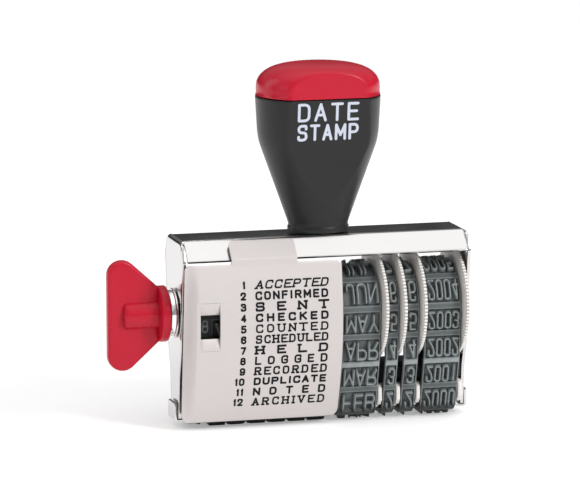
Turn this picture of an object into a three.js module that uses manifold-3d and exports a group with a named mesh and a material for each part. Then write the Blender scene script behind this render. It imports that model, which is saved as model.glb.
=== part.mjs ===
// Line date stamp with a twelve-phrase dial, standing on its own type.
// Millimetres, +Z up. X runs across the stamp, with the dial's knob at -X, and the front faces -Y.
// The origin is in the printing plane, under the axis of the handle.
import * as THREE from 'three';
import { mergeVertices } from 'three/addons/utils/BufferGeometryUtils.js';
import Module from 'manifold-3d';

const wasm = await Module();
wasm.setup();

// ---------------------------------------------------------------- driving dimensions
const clearance = 0.3;            // air between pieces that touch or turn

// bent sheet frame
const frameWidth = 78;            // across the outer faces of the two legs
const sheet = 0.8;
const topDepth = 14.4;
const endBendRadius = 1.2;        // outer radius where the top turns into a leg
const apronDrop = 5.0;            // how far the front and back flaps hang down
const apronReach = 4.7;           // and how far they lean out
const legFootHeight = 2.7;
const legFoot = 3.8;              // half depths of a leg, from the foot up
const legAnkle = 5.0;
const legAnkleHeight = 13.4;
const legKnee = 7.4;
const legKneeHeight = 21;
const legShoulder = 10.2;

// wheels on one axle
const rimRadius = 14.7;
const rimThickness = 1.0;
const knurlCount = 96;
const knurlDepth = 0.45;
const drumRadius = 9.2;
const axleRadius = 1.9;
const axleHeadRadius = 3.2;
const axleHeadThickness = 0.9;
const headroom = 4.4;             // between the rims and the underside of the top
const rimsOverBridge = 5.9;       // between the ribs of the bridge and the rims
const endPlay = 0.7;              // between the end wheels and the legs
const wheelGap = 0.4;             // between one wheel and the next
const spacerThickness = 0.6;
const spacerRadius = 4.2;

// rubber bands
const tileCount = 13;
const bandBase = 0.9;             // flexible belt
const tileRelief = 0.7;           // tiles moulded on the belt
const typeRelief = 0.8;           // characters moulded on the tiles
const typeHeight = 5.0;           // of a block of characters, round the loop
const typeMargin = 0.5;           // from the ends of a block to the sides of its band
const tileGap = 0.8;              // bare belt between two tiles
const bandBottomHalf = 5.0;       // half depth of the loop where it turns up
const bandBottomRadius = 2.2;
const bandKneeHalf = 8.6;         // half depth where the loop bends again
const bandKneeHeight = 17.6;
const monthWidth = 10.4;
const tensWidth = 3.3;
const onesWidth = 3.8;
const yearWidth = 9.8;
const indexStripWidth = 4.8;      // low strip of numbers beside the phrases
const indexStripInset = 1.1;      // from the left end of the drum
const strapPlay = 0.5;            // between the loops and the strap they run round

// phrase dial
const shaftRadius = 2.2;
const shaftIntoKnob = 5.8;
const collarRadius = 6.6;
const collarThickness = 1.8;
const flangeRadius = 7.4;
const flangeThickness = 2.3;
const bossRadius = 3.85;
const bossLength = 9.4;
const wingHalfHeight = 14.6;      // to the tops of its round corners
const wingRootHalf = 7.1;         // where it meets the flange
const wingLength = 13.4;
const wingThickness = 3.2;
const wingCornerRadius = 4;

// front cover with the list of phrases
const coverSheet = 0.6;
const coverFootHeight = 2.2;
const coverFootReach = 7.6;       // distance of its outer face in front of the axis, at the foot
const coverTopReach = 12.3;
const coverPlay = 1.44;           // between the type on the drum and the cover
const coverSideRoll = 3.0;        // width over which the left side rolls back
const coverTopGap = 0.6;          // under the front flap
const coverShort = 0.8;           // its right edge, left of the month band
const tabWidth = 17.6;
const tabFromLeft = 12.4;         // from the outer face of the left leg
const tabCorner = 1.2;
const tabTopMargin = 0.9;         // below the fold of the flap
const windowWidth = 5.3;
const windowFromLeft = 3.7;
const windowBelowAxis = 5.1;      // lower edge of the opening, under the axle
const windowHeight = 6.5;
const lipHeight = 3.1;
const lipDepth = 1.0;

// bridge that the loops run round
const strapSheet = 0.7;
const strapHalfDepth = 3.5;
const strapTabRise = 4.6;
const bridgeTop = 9.2;
const bridgeHalfDepth = 4.7;
const formerHalfDepth = 5.2;
const ribTop = 9.6;
const ribHalfDepth = 7.2;
const ribFootHalfDepth = 5.8;

// handle
const handleFoot = { halfWidth: 8.2, halfDepth: 6.5, rise: 1.7 };
const handleShoulder = { halfWidth: 16.0, rise: 25.2 };
const handleTop = { halfWidth: 16.55, halfDepth: 15.5, flat: 11.8, flatLean: 0.117, rise: 36.0 };
const handleWaist = { halfWidth: 8.0, rise: 2.4 };
const capHeight = 8.4;
const capPlugRadius = 6;
const capPlugLength = 5.5;
const screwRadius = 1.9;
const screwLength = 14;
const screwHeadRadius = 3.6;
const screwHeadHeight = 2.0;
const washerRadius = 4.3;
const washerThickness = 0.6;

// fineness of round stretches
const roundSides = 24;
const drumSides = 36;
const handleSides = 40;

// ---------------------------------------------------------------- solids
function solid(geometry) {
  const bare = geometry.index ? geometry.toNonIndexed() : geometry.clone();
  for (const name of Object.keys(bare.attributes)) {
    if (name !== 'position') bare.deleteAttribute(name);
  }
  const merged = mergeVertices(bare, 1e-4);
  const index = merged.index.array;
  const triVerts = [];
  for (let i = 0; i < index.length; i += 3) {
    const [a, b, c] = [index[i], index[i + 1], index[i + 2]];
    if (a !== b && b !== c && c !== a) triVerts.push(a, b, c);
  }
  if (signedVolume(merged.attributes.position, triVerts) < 0) triVerts.reverse();
  return new wasm.Manifold(new wasm.Mesh({
    numProp: 3,
    vertProperties: new Float32Array(merged.attributes.position.array),
    triVerts: new Uint32Array(triVerts),
  }));
}

function signedVolume(position, triVerts) {
  const [a, b, c] = [new THREE.Vector3(), new THREE.Vector3(), new THREE.Vector3()];
  let volume = 0;
  for (let i = 0; i < triVerts.length; i += 3) {
    a.fromBufferAttribute(position, triVerts[i]);
    b.fromBufferAttribute(position, triVerts[i + 1]);
    c.fromBufferAttribute(position, triVerts[i + 2]);
    volume += a.dot(b.cross(c));
  }
  return volume;
}

function geometryOf(body) {
  const mesh = body.getMesh();
  const geometry = new THREE.BufferGeometry();
  geometry.setAttribute('position', new THREE.BufferAttribute(new Float32Array(mesh.vertProperties), 3));
  geometry.setIndex(new THREE.BufferAttribute(new Uint32Array(mesh.triVerts), 1));
  geometry.computeVertexNormals();
  return geometry;
}

function join(...bodies) {
  return bodies.reduce((whole, next) => whole.add(next));
}

// An outline carried along one axis. Points are (y, z) along X, (x, z) along Y and (x, y) along Z.
function extrudeAlong(axis, points, from, to) {
  const shape = new THREE.Shape(points.map(([u, v]) => new THREE.Vector2(u, v)));
  const geometry = new THREE.ExtrudeGeometry(shape, { depth: to - from, bevelEnabled: false, steps: 1 });
  const place = new THREE.Matrix4();
  if (axis === 'x') place.set(0, 0, 1, from, 1, 0, 0, 0, 0, 1, 0, 0, 0, 0, 0, 1);
  if (axis === 'y') place.set(1, 0, 0, 0, 0, 0, -1, to, 0, 1, 0, 0, 0, 0, 0, 1);
  if (axis === 'z') place.makeTranslation(0, 0, from);
  return solid(geometry.applyMatrix4(place));
}

// A round bar along X at the height of the axle, or along Z on the axis of the handle.
function bar(axis, radius, from, to, sides = roundSides) {
  const geometry = new THREE.CylinderGeometry(radius, radius, to - from, sides);
  if (axis === 'x') geometry.rotateZ(-Math.PI / 2).translate((from + to) / 2, 0, axisHeight);
  if (axis === 'z') geometry.rotateX(Math.PI / 2).translate(0, 0, (from + to) / 2);
  return solid(geometry);
}

// The outline of a bent strip of one thickness, from the line along its middle.
function stripOutline(line, thickness) {
  const left = [];
  const right = [];
  line.forEach(([u, v], i) => {
    const before = line[Math.max(i - 1, 0)];
    const after = line[Math.min(i + 1, line.length - 1)];
    const inward = new THREE.Vector2(u - before[0], v - before[1]);
    const outward = new THREE.Vector2(after[0] - u, after[1] - v);
    if (i === 0) inward.copy(outward);
    if (i === line.length - 1) outward.copy(inward);
    const mitre = inward.normalize().clone().add(outward.normalize()).normalize();
    const reach = thickness / 2 / mitre.dot(inward);
    left.push([u - mitre.y * reach, v + mitre.x * reach]);
    right.push([u + mitre.y * reach, v - mitre.x * reach]);
  });
  return [...left, ...right.reverse()];
}

// Points of an arc, ends included. Angles are in degrees, anticlockwise from the first axis.
function arc(centreU, centreV, radius, fromAngle, toAngle, steps) {
  return Array.from({ length: steps + 1 }, (_, i) => {
    const angle = THREE.MathUtils.degToRad(THREE.MathUtils.lerp(fromAngle, toAngle, i / steps));
    return [centreU + radius * Math.cos(angle), centreV + radius * Math.sin(angle)];
  });
}

const mirrored = (points) => [...points, ...points.map(([u, v]) => [-u, v]).reverse()];

// ---------------------------------------------------------------- heights and places along X
const axisHeight = ribTop + rimsOverBridge + rimRadius;
const formerFoot = ribTop + clearance;
const formerTop = ribTop + rimsOverBridge - 2 * clearance;
const topHeight = axisHeight + rimRadius + headroom + sheet;   // upper face of the frame
const legOuter = frameWidth / 2;
const legInner = legOuter - sheet;
const apronFoot = topHeight - apronDrop;
const boreOver = (radius) => radius + clearance;

const bandInnerRadius = drumRadius + clearance;
const bandDepth = bandBase + tileRelief + typeRelief;
const bandBottom = bandDepth;     // height of the loops' inner surface over the printing plane

const yearRimEnd = legInner - endPlay;
const wheelFromRight = (rimEnd, width) => {
  const bandEnd = rimEnd - rimThickness - clearance;
  return { rimEnd, bandEnd, start: bandEnd - width };
};
const yearPlace = wheelFromRight(yearRimEnd, yearWidth);
const onesPlace = wheelFromRight(yearPlace.start - wheelGap, onesWidth);
const tensPlace = wheelFromRight(onesPlace.start - wheelGap, tensWidth);
const monthPlace = wheelFromRight(tensPlace.start - wheelGap, monthWidth);
const spacerEnd = monthPlace.start - clearance;
const drumEnd = spacerEnd - spacerThickness - clearance;
const drumStart = -legInner + endPlay;
const phraseStart = drumStart + indexStripInset;
const phraseEnd = drumEnd - clearance;
const phraseTypeStart = phraseStart + indexStripWidth;

// ---------------------------------------------------------------- frame
function frame() {
  const bendCentre = legOuter - endBendRadius;
  const topCentre = topHeight - endBendRadius;
  const outer = [[legOuter, legFootHeight], ...arc(bendCentre, topCentre, endBendRadius, 0, 90, 6)];
  const inner = [[legInner, legFootHeight], ...arc(bendCentre, topCentre, endBendRadius - sheet, 0, 90, 6)];
  const hoop = extrudeAlong('y', [...mirrored(outer), ...mirrored(inner).reverse()], -topDepth, topDepth);

  const side = mirrored([
    [legFoot, legFootHeight], [legAnkle, legAnkleHeight], [legKnee, legKneeHeight],
    [legShoulder, apronFoot], [topDepth / 2, topHeight],
  ]);
  const legs = hoop.intersect(extrudeAlong('x', side, -legOuter, legOuter));

  const fold = [topDepth / 2 - sheet, topHeight - sheet / 2];
  const lean = [topDepth / 2 - sheet / 4, topHeight - sheet / 2];
  const hem = [topDepth / 2 + apronReach - sheet / 2, apronFoot];
  const apron = stripOutline([fold, lean, hem], sheet);
  const apronEnd = legInner - clearance;
  const front = extrudeAlong('x', apron.map(([y, z]) => [-y, z]), -apronEnd, apronEnd);
  const back = extrudeAlong('x', apron, -apronEnd, apronEnd);

  return join(legs, front, back)
    .subtract(bar('x', boreOver(shaftRadius), -legOuter - sheet, -legInner + sheet))
    .subtract(bar('x', boreOver(axleRadius), legInner - sheet, legOuter + sheet))
    .subtract(bar('z', boreOver(screwRadius), topHeight - 2 * sheet, topHeight + sheet));
}

// ---------------------------------------------------------------- bands and wheels
const onCircle = (centre, radius, angle) => new THREE.Vector2(
  centre.x + radius * Math.cos(angle), centre.y + radius * Math.sin(angle));

// Half of the inner surface of a loop, from the middle of the bottom to the middle of the top, as
// pieces of known length: a flat, a bend, two straight runs and the arc on the drum.
function halfLoop() {
  const bendCentre = new THREE.Vector2(bandBottomHalf - bandBottomRadius, bandBottom + bandBottomRadius);
  const knee = new THREE.Vector2(bandKneeHalf, bandKneeHeight);
  const drum = new THREE.Vector2(0, axisHeight);

  const toKnee = knee.clone().sub(bendCentre);
  const bendExit = toKnee.angle() - Math.acos(bandBottomRadius / toKnee.length());
  const bendEnd = onCircle(bendCentre, bandBottomRadius, bendExit);
  const toDrum = drum.clone().sub(knee);
  const drumAngle = toDrum.angle() + Math.PI + Math.acos(bandInnerRadius / toDrum.length());
  const drumEntry = onCircle(drum, bandInnerRadius, drumAngle);

  const straight = (from, to) => ({
    length: from.distanceTo(to),
    at: (share) => from.clone().lerp(to, share),
    facing: () => to.clone().sub(from).angle() - Math.PI / 2,
  });
  const turn = (centre, radius, from, to) => ({
    length: radius * (to - from),
    at: (share) => onCircle(centre, radius, THREE.MathUtils.lerp(from, to, share)),
    facing: (share) => THREE.MathUtils.lerp(from, to, share),
  });
  const entry = THREE.MathUtils.euclideanModulo(drumAngle + Math.PI, 2 * Math.PI) - Math.PI;
  const down = -Math.PI / 2;
  const bottom = new THREE.Vector2(0, bandBottom);
  return [
    straight(bottom, new THREE.Vector2(bendCentre.x, bandBottom)),
    turn(bendCentre, bandBottomRadius, down, bendExit),
    straight(bendEnd, knee),
    straight(knee, drumEntry),
    turn(drum, bandInnerRadius, entry, Math.PI / 2),
  ];
}

const loopPieces = halfLoop();
const halfLoopLength = loopPieces.reduce((sum, piece) => sum + piece.length, 0);
const tilePitch = 2 * halfLoopLength / tileCount;

// The point at a distance round the loop from the middle of the bottom, out from the inner surface.
function loopPoint(distance, out) {
  const sign = distance < 0 ? -1 : 1;
  let rest = Math.abs(distance);
  let piece = loopPieces[0];
  for (piece of loopPieces) {
    if (rest <= piece.length || piece === loopPieces.at(-1)) break;
    rest -= piece.length;
  }
  const share = Math.min(rest / piece.length, 1);
  const point = piece.at(share);
  const facing = piece.facing(share);
  return [sign * (point.x + out * Math.cos(facing)), point.y + out * Math.sin(facing)];
}

const tileCentres = Array.from({ length: tileCount }, (_, i) => (i - (tileCount - 1) / 2) * tilePitch);

function bandRing(start, end) {
  const halfTile = (tilePitch - tileGap) / 2;
  const outer = [];
  for (const centre of tileCentres) {
    outer.push(loopPoint(centre - halfTile, bandBase));
    for (const share of [-1, -0.5, 0, 0.5, 1]) {
      outer.push(loopPoint(centre + share * halfTile, bandBase + tileRelief));
    }
    outer.push(loopPoint(centre + halfTile, bandBase));
  }
  const innerSteps = 6 * tileCount;
  const inner = Array.from({ length: innerSteps }, (_, i) =>
    loopPoint(((i + 0.5) / innerSteps * 2 - 1) * halfLoopLength, 0));
  const tube = extrudeAlong('x', outer, start, end);
  return tube.subtract(extrudeAlong('x', inner, start - 1, end + 1));
}

// One block of characters for each tile, as tall as the characters stand.
function typeBlocks(start, end) {
  const blocks = tileCentres.map((centre) => {
    const stations = [-0.5, 0, 0.5].map((share) => centre + share * typeHeight);
    const foot = stations.map((distance) => loopPoint(distance, bandBase + tileRelief / 2));
    const face = stations.map((distance) => loopPoint(distance, bandDepth));
    return extrudeAlong('x', [...foot, ...face.reverse()], start + typeMargin, end - typeMargin);
  });
  return join(...blocks);
}

function band(start, end, typeStart = start) {
  return join(bandRing(start, end), typeBlocks(typeStart, end));
}

const dateBand = (place) => band(place.start, place.bandEnd);

function dateWheel(place) {
  const rim = Array.from({ length: 2 * knurlCount }, (_, i) => {
    const radius = rimRadius - (i % 2) * knurlDepth;
    const angle = i * Math.PI / knurlCount;
    return [radius * Math.cos(angle), axisHeight + radius * Math.sin(angle)];
  });
  const disc = extrudeAlong('x', rim, place.rimEnd - rimThickness, place.rimEnd);
  const drum = bar('x', drumRadius, place.start, place.rimEnd - rimThickness / 2, drumSides);
  return join(disc, drum).subtract(bar('x', boreOver(axleRadius), place.start - 1, place.rimEnd + 1));
}

// ---------------------------------------------------------------- axle and phrase dial
const boreEnd = drumStart + 1.6;            // the drum's bore stops short of its shaft
const collarStart = -legOuter - clearance - collarThickness;
const flangeEnd = collarStart - clearance;
const flangeStart = flangeEnd - flangeThickness;
const shaftTip = flangeEnd - shaftIntoKnob;

function wheelAxle() {
  const headStart = legOuter + clearance;
  return join(bar('x', axleRadius, boreEnd + clearance, headStart + axleHeadThickness / 2),
    bar('x', axleHeadRadius, headStart, headStart + axleHeadThickness));
}

function ring(axis, radius, bore, from, to) {
  return bar(axis, radius, from, to).subtract(bar(axis, bore, from - 1, to + 1));
}

const spacerStart = spacerEnd - spacerThickness;
const dialSpacer = () => ring('x', spacerRadius, boreOver(axleRadius), spacerStart, spacerEnd);
const knobCollar = () => ring('x', collarRadius, boreOver(shaftRadius), collarStart, -legOuter - clearance);
const lockWasher = () => ring('z', washerRadius, boreOver(screwRadius), washerTop - washerThickness, washerTop);

function phraseDrum() {
  const drum = bar('x', drumRadius, drumStart, drumEnd, drumSides);
  return join(drum, bar('x', shaftRadius, shaftTip, drumStart + 1))
    .subtract(bar('x', boreOver(axleRadius), boreEnd, drumEnd + 1));
}

function phraseKnob() {
  const outerEdge = flangeStart - wingLength;
  const corner = new THREE.Vector2(outerEdge + wingCornerRadius, wingHalfHeight - wingCornerRadius);
  const toRoot = new THREE.Vector2(flangeStart, wingRootHalf).sub(corner);
  const tangent = toRoot.angle() - 2 * Math.PI + Math.acos(wingCornerRadius / toRoot.length());
  const half = [[flangeStart + flangeThickness / 2, wingRootHalf], [flangeStart, wingRootHalf],
    ...arc(corner.x, corner.y, wingCornerRadius, THREE.MathUtils.radToDeg(tangent), 180, 6)];
  const other = half.map(([x, z]) => [x, -z]).reverse();
  const outline = [...half, ...other].map(([x, z]) => [x, z + axisHeight]);
  const wing = extrudeAlong('y', outline, -wingThickness / 2, wingThickness / 2);
  const boss = bar('x', bossRadius, flangeStart - bossLength, flangeEnd - flangeThickness / 2);
  const flange = bar('x', flangeRadius, flangeStart, flangeEnd, drumSides);
  const bore = bar('x', boreOver(shaftRadius), shaftTip - clearance, flangeEnd + 1);
  return join(wing, boss, flange).subtract(bore);
}

// ---------------------------------------------------------------- front cover
const coverTop = apronFoot - coverTopGap;
const coverEnd = monthPlace.start - coverShort;
const coverRise = (z) => THREE.MathUtils.inverseLerp(coverFootHeight, coverTop, z);
const coverSlope = (z) => THREE.MathUtils.lerp(coverFootReach, coverTopReach, coverRise(z));
const coverCurve = (z) => Math.max(Math.sin(Math.PI * coverRise(z)), 0);
const reachAtAxis = bandInnerRadius + bandDepth + coverPlay + coverSheet;
const coverBelly = (reachAtAxis - coverSlope(axisHeight)) / coverCurve(axisHeight);

// Distance of the cover's outer face in front of the axis.
function coverReach(x, z) {
  const roll = THREE.MathUtils.smoothstep(x, -legOuter, -legOuter + coverSideRoll);
  return coverSlope(z) + coverBelly * coverCurve(z) * roll;
}

function frontCover() {
  const width = coverEnd + legOuter;
  const height = coverTop - coverFootHeight;
  const sheetGeometry = new THREE.BoxGeometry(width, coverSheet, height, 12, 1, 14);
  const position = sheetGeometry.attributes.position;
  const rollShare = coverSideRoll / width;
  for (let i = 0; i < position.count; i++) {
    const share = position.getX(i) / width + 0.5;
    const eased = share < 0.5 ? 2 * share * rollShare : THREE.MathUtils.lerp(rollShare, 1, 2 * share - 1);
    const x = -legOuter + eased * width;
    const z = coverFootHeight + position.getZ(i) + height / 2;
    position.setXYZ(i, x, -coverReach(x, z) + coverSheet / 2 + position.getY(i), z);
  }

  // tab that lies over the flap of the frame
  const tabStart = -legOuter + tabFromLeft;
  const flapTop = new THREE.Vector2(topDepth / 2, topHeight);
  const flapFoot = new THREE.Vector2(topDepth / 2 + apronReach, apronFoot);
  const away = flapFoot.clone().sub(flapTop).normalize();
  const outward = new THREE.Vector2(-away.y, away.x).multiplyScalar(clearance + coverSheet / 2 + sheet / 8);
  const tabTop = flapTop.clone().addScaledVector(away, tabTopMargin).add(outward);
  const tabFoot = flapFoot.clone().add(outward);
  const root = [coverReach(tabStart, coverTop - 1) - coverSheet / 2, coverTop - 1];
  const tabLine = [tabTop.toArray(), tabFoot.toArray(), root].map(([reach, z]) => [-reach, z]);
  const tabSide = extrudeAlong('x', stripOutline(tabLine, coverSheet), tabStart, tabStart + tabWidth);
  const tabFace = extrudeAlong('y', [
    [tabStart, coverTop - 2], [tabStart + tabWidth, coverTop - 2],
    ...arc(tabStart + tabWidth - tabCorner, tabTop.y - tabCorner, tabCorner, 0, 90, 4),
    ...arc(tabStart + tabCorner, tabTop.y - tabCorner, tabCorner, 90, 180, 4),
  ], -coverTopReach - coverBelly - 1, 0);

  // window, with a lip pressed in above and below it
  const windowStart = -legOuter + windowFromLeft;
  const windowEnd = windowStart + windowWidth;
  const windowFoot = axisHeight - windowBelowAxis;
  const windowTop = windowFoot + windowHeight;
  const opening = extrudeAlong('z', [
    [windowStart, -coverTopReach - coverBelly], [windowEnd, -coverTopReach - coverBelly],
    [windowEnd, 0], [windowStart, 0],
  ], windowFoot - lipHeight, windowTop + lipHeight);
  const middle = (z) => -coverReach(windowEnd, z) + coverSheet / 2;
  const lip = (rootZ, edgeZ) => extrudeAlong('x', stripOutline([
    [middle(rootZ), rootZ + Math.sign(rootZ - edgeZ) * 0.2], [middle(edgeZ) + lipDepth, edgeZ],
  ], coverSheet), windowStart - 0.1, windowEnd + 0.1);

  return join(solid(sheetGeometry).subtract(opening), tabSide.intersect(tabFace),
    lip(windowTop + lipHeight, windowTop), lip(windowFoot - lipHeight, windowFoot));
}

// ---------------------------------------------------------------- bridge under the loops
const strapFoot = bandBottom + strapPlay;
const strapTop = strapFoot + strapSheet;

function bridgeStrap() {
  const middle = strapFoot + strapSheet / 2;
  const tabX = legOuter + clearance + strapSheet / 2;
  const dip = legFootHeight - clearance - strapSheet / 2;
  const dipStart = Math.max(yearPlace.bandEnd, -phraseStart) + clearance;
  const half = [[dipStart, middle], [dipStart + 1, dip], [tabX, dip], [tabX, dip + strapTabRise]];
  const line = [...half.map(([x, z]) => [-x, z]).reverse(), ...half];
  return extrudeAlong('y', stripOutline(line, strapSheet), -strapHalfDepth, strapHalfDepth);
}

// Dark former above the ribs of the bridge, between the front and back runs of the loops.
function bandFormer() {
  const outline = mirrored([
    [formerHalfDepth - 1, formerFoot], [formerHalfDepth, formerFoot + 1],
    [formerHalfDepth, formerTop - 1], [formerHalfDepth - 1, formerTop],
  ]);
  return extrudeAlong('x', outline, phraseStart, yearRimEnd + clearance);
}

function typeBridge() {
  const foot = strapTop + clearance;
  const core = mirrored([
    [bridgeHalfDepth - 1.2, foot], [bridgeHalfDepth, foot + 1.2],
    [bridgeHalfDepth, bridgeTop - 0.9], [bridgeHalfDepth - 0.9, bridgeTop],
  ]);
  const rib = mirrored([
    [ribFootHalfDepth, foot], [ribHalfDepth, foot + 1.2],
    [ribHalfDepth, ribTop - 1.5], [ribHalfDepth - 1.5, ribTop],
  ]);
  const dates = [monthPlace, tensPlace, onesPlace, yearPlace];
  const gaps = dates.map((place, i) => [i ? dates[i - 1].bandEnd : phraseEnd, place.start]);
  gaps.push([yearPlace.bandEnd, yearRimEnd + 2 * clearance]);
  const bridge = extrudeAlong('x', core, phraseStart, yearRimEnd + clearance);
  const ribs = gaps.map(([from, to]) => extrudeAlong('x', rib, from + clearance, to - clearance));
  return join(bridge, ...ribs);
}

// ---------------------------------------------------------------- handle
const handleBase = topHeight + clearance;
const handleHeight = handleTop.rise;
const capBase = handleBase + handleHeight + clearance;

// A round body pressed to an oval of its own depth, with flats ground on its front and back.
function ovalBody(profile, depthShare, flat) {
  const points = profile.map(([radius, z]) => new THREE.Vector2(radius, z));
  const geometry = new THREE.LatheGeometry(points, handleSides).rotateX(Math.PI / 2);
  const position = geometry.attributes.position;
  for (let i = 0; i < position.count; i++) {
    const z = position.getZ(i);
    const limit = flat(z);
    position.setY(i, THREE.MathUtils.clamp(position.getY(i) * depthShare(z), -limit, limit));
  }
  return solid(geometry);
}

function handle() {
  const bendStart = [handleShoulder.halfWidth - 0.95, handleShoulder.rise - 2.9];
  const flare = Array.from({ length: 10 }, (_, k) => [
    THREE.MathUtils.lerp(handleWaist.halfWidth, bendStart[0], k / 9),
    THREE.MathUtils.lerp(handleWaist.rise, bendStart[1], k / 9),
  ]).concat([
    [handleShoulder.halfWidth - 0.35, handleShoulder.rise - 1.1],
    [handleShoulder.halfWidth + 0.03, handleShoulder.rise + 0.6],
    [(handleShoulder.halfWidth + handleTop.halfWidth) / 2, (handleShoulder.rise + handleTop.rise) / 2],
    [handleTop.halfWidth, handleTop.rise],
  ]);
  const outline = [[0, 0], [handleFoot.halfWidth, 0], [handleFoot.halfWidth, handleFoot.rise],
    ...flare, [0, handleHeight]];
  const footShare = handleFoot.halfDepth / handleFoot.halfWidth;
  const topShare = handleTop.halfDepth / handleTop.halfWidth;
  const body = ovalBody(outline,
    (z) => THREE.MathUtils.lerp(footShare, topShare, THREE.MathUtils.smoothstep(z, 0, handleShoulder.rise)),
    (z) => handleTop.flat - handleTop.flatLean * (handleHeight - z));
  return body.translate([0, 0, handleBase])
    .subtract(bar('z', boreOver(screwRadius), handleBase - 1, screwTip + clearance))
    .subtract(bar('z', boreOver(capPlugRadius), capBase - capPlugLength - 2 * clearance, capBase + 1));
}

function handleCap() {
  const share = handleTop.halfDepth / handleTop.halfWidth;
  // a side between a circle and a rectangle: cos and sin, each to the power of two thirds
  const crown = [6, 16, 28, 40, 52, 64, 75, 84].map((degrees) => THREE.MathUtils.degToRad(degrees)).map((turn) => [
    handleTop.halfWidth * Math.pow(Math.cos(turn), 2 / 3), capHeight * Math.pow(Math.sin(turn), 2 / 3)]);
  const outline = [[0, 0], [handleTop.halfWidth, 0], ...crown, [0, capHeight]];
  const dome = ovalBody(outline, () => share, () => handleTop.flat).translate([0, 0, capBase]);
  return join(dome, bar('z', capPlugRadius, capBase - capPlugLength, capBase + 1));
}

const washerTop = topHeight - sheet - clearance;
const screwHeadTop = washerTop - washerThickness - clearance;
const screwTip = topHeight + screwLength;

function handleScrew() {
  const head = bar('z', screwHeadRadius, screwHeadTop - screwHeadHeight, screwHeadTop);
  const shank = bar('z', screwRadius, screwHeadTop - screwHeadHeight / 2, screwTip);
  const slot = extrudeAlong('z', [[-5, -0.5], [5, -0.5], [5, 0.5], [-5, 0.5]],
    screwHeadTop - screwHeadHeight - 1, screwHeadTop - screwHeadHeight + 0.8);
  return join(head, shank).subtract(slot);
}

// ---------------------------------------------------------------- finishes and the whole stamp
const finish = {
  nickel: { color: 0xe0dcda, roughness: 0.18, metalness: 1 },
  cover: { color: 0xdad2d0, roughness: 0.35, metalness: 0.9 },
  chrome: { color: 0xf0eeec, roughness: 0.08, metalness: 1 },
  steel: { color: 0xb8b8b6, roughness: 0.35, metalness: 1 },
  black: { color: 0x3a3a38, roughness: 0.4, metalness: 0 },
  red: { color: 0xc32d43, roughness: 0.3, metalness: 0 },
  rubber: { color: 0x6f7677, roughness: 0.75, metalness: 0 },
  darkRubber: { color: 0x202020, roughness: 0.7, metalness: 0 },
  white: { color: 0xe8e4e0, roughness: 0.4, metalness: 0 },
};

const pieces = {
  frame: [frame(), finish.nickel],
  front_cover: [frontCover(), finish.cover],
  handle: [handle(), finish.black],
  handle_cap: [handleCap(), finish.red],
  handle_screw: [handleScrew(), finish.steel],
  lock_washer: [lockWasher(), finish.steel],
  wheel_axle: [wheelAxle(), finish.steel],
  dial_spacer: [dialSpacer(), finish.steel],
  knob_collar: [knobCollar(), finish.chrome],
  phrase_knob: [phraseKnob(), finish.red],
  phrase_drum: [phraseDrum(), finish.black],
  month_wheel: [dateWheel(monthPlace), finish.white],
  day_tens_wheel: [dateWheel(tensPlace), finish.white],
  day_ones_wheel: [dateWheel(onesPlace), finish.white],
  year_wheel: [dateWheel(yearPlace), finish.white],
  phrase_band: [band(phraseStart, phraseEnd, phraseTypeStart), finish.darkRubber],
  month_band: [dateBand(monthPlace), finish.rubber],
  day_tens_band: [dateBand(tensPlace), finish.rubber],
  day_ones_band: [dateBand(onesPlace), finish.rubber],
  year_band: [dateBand(yearPlace), finish.rubber],
  bridge_strap: [bridgeStrap(), finish.nickel],
  band_former: [bandFormer(), finish.black],
  type_bridge: [typeBridge(), finish.white],
};

const stamp = new THREE.Group();
for (const [name, [body, look]] of Object.entries(pieces)) {
  const mesh = new THREE.Mesh(geometryOf(body), new THREE.MeshStandardMaterial(look));
  mesh.name = name;
  stamp.add(mesh);
}

export default stamp;
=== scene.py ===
# Line date stamp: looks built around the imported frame. Sizes are in millimetres, meshes in metres.
import bpy
import bmesh
import math
import numpy as np
from mathutils import Matrix, Vector


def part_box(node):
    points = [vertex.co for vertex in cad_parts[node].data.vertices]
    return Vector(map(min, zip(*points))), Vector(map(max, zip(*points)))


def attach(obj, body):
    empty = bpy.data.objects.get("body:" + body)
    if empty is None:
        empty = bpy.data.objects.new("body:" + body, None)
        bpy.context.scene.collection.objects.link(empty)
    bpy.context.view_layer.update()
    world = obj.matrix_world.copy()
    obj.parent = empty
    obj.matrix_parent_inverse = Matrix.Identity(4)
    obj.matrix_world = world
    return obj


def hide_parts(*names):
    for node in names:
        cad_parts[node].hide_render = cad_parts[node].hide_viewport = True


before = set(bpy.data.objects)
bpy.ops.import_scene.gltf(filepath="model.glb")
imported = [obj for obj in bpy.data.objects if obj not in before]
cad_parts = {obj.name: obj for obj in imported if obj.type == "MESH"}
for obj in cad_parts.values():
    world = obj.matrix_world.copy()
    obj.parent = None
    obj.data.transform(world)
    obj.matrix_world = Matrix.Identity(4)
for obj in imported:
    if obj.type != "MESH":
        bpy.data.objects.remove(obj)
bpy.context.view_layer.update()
mm = 0.001


def boxOf(node):
    # lowest and highest corner of a node, in millimetres
    low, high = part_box(node)
    return np.array(low) / mm, np.array(high) / mm


frameLow, frameHigh = boxOf("frame")
wheelLow, wheelHigh = boxOf("month_wheel")
axleZ = (wheelLow[2] + wheelHigh[2]) / 2
rimRadius = (wheelHigh[2] - wheelLow[2]) / 2
legOuter = frameHigh[0]
topZ = frameHigh[2]
print("frame loaded: axle at", round(axleZ, 2), "top at", round(topZ, 2))

# small maker's tools


def gridQuads(rows, cols, wrapRows=False, wrapCols=False):
    # quads between the points of a rows by cols grid, optionally joined round on itself
    r = np.arange(rows if wrapRows else rows - 1)[:, None]
    c = np.arange(cols if wrapCols else cols - 1)[None, :]
    r2, c2 = (r + 1) % rows, (c + 1) % cols
    quads = np.stack([r * cols + c, r * cols + c2, r2 * cols + c2, r2 * cols + c], axis=-1)
    return quads.reshape(-1, 4)


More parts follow.
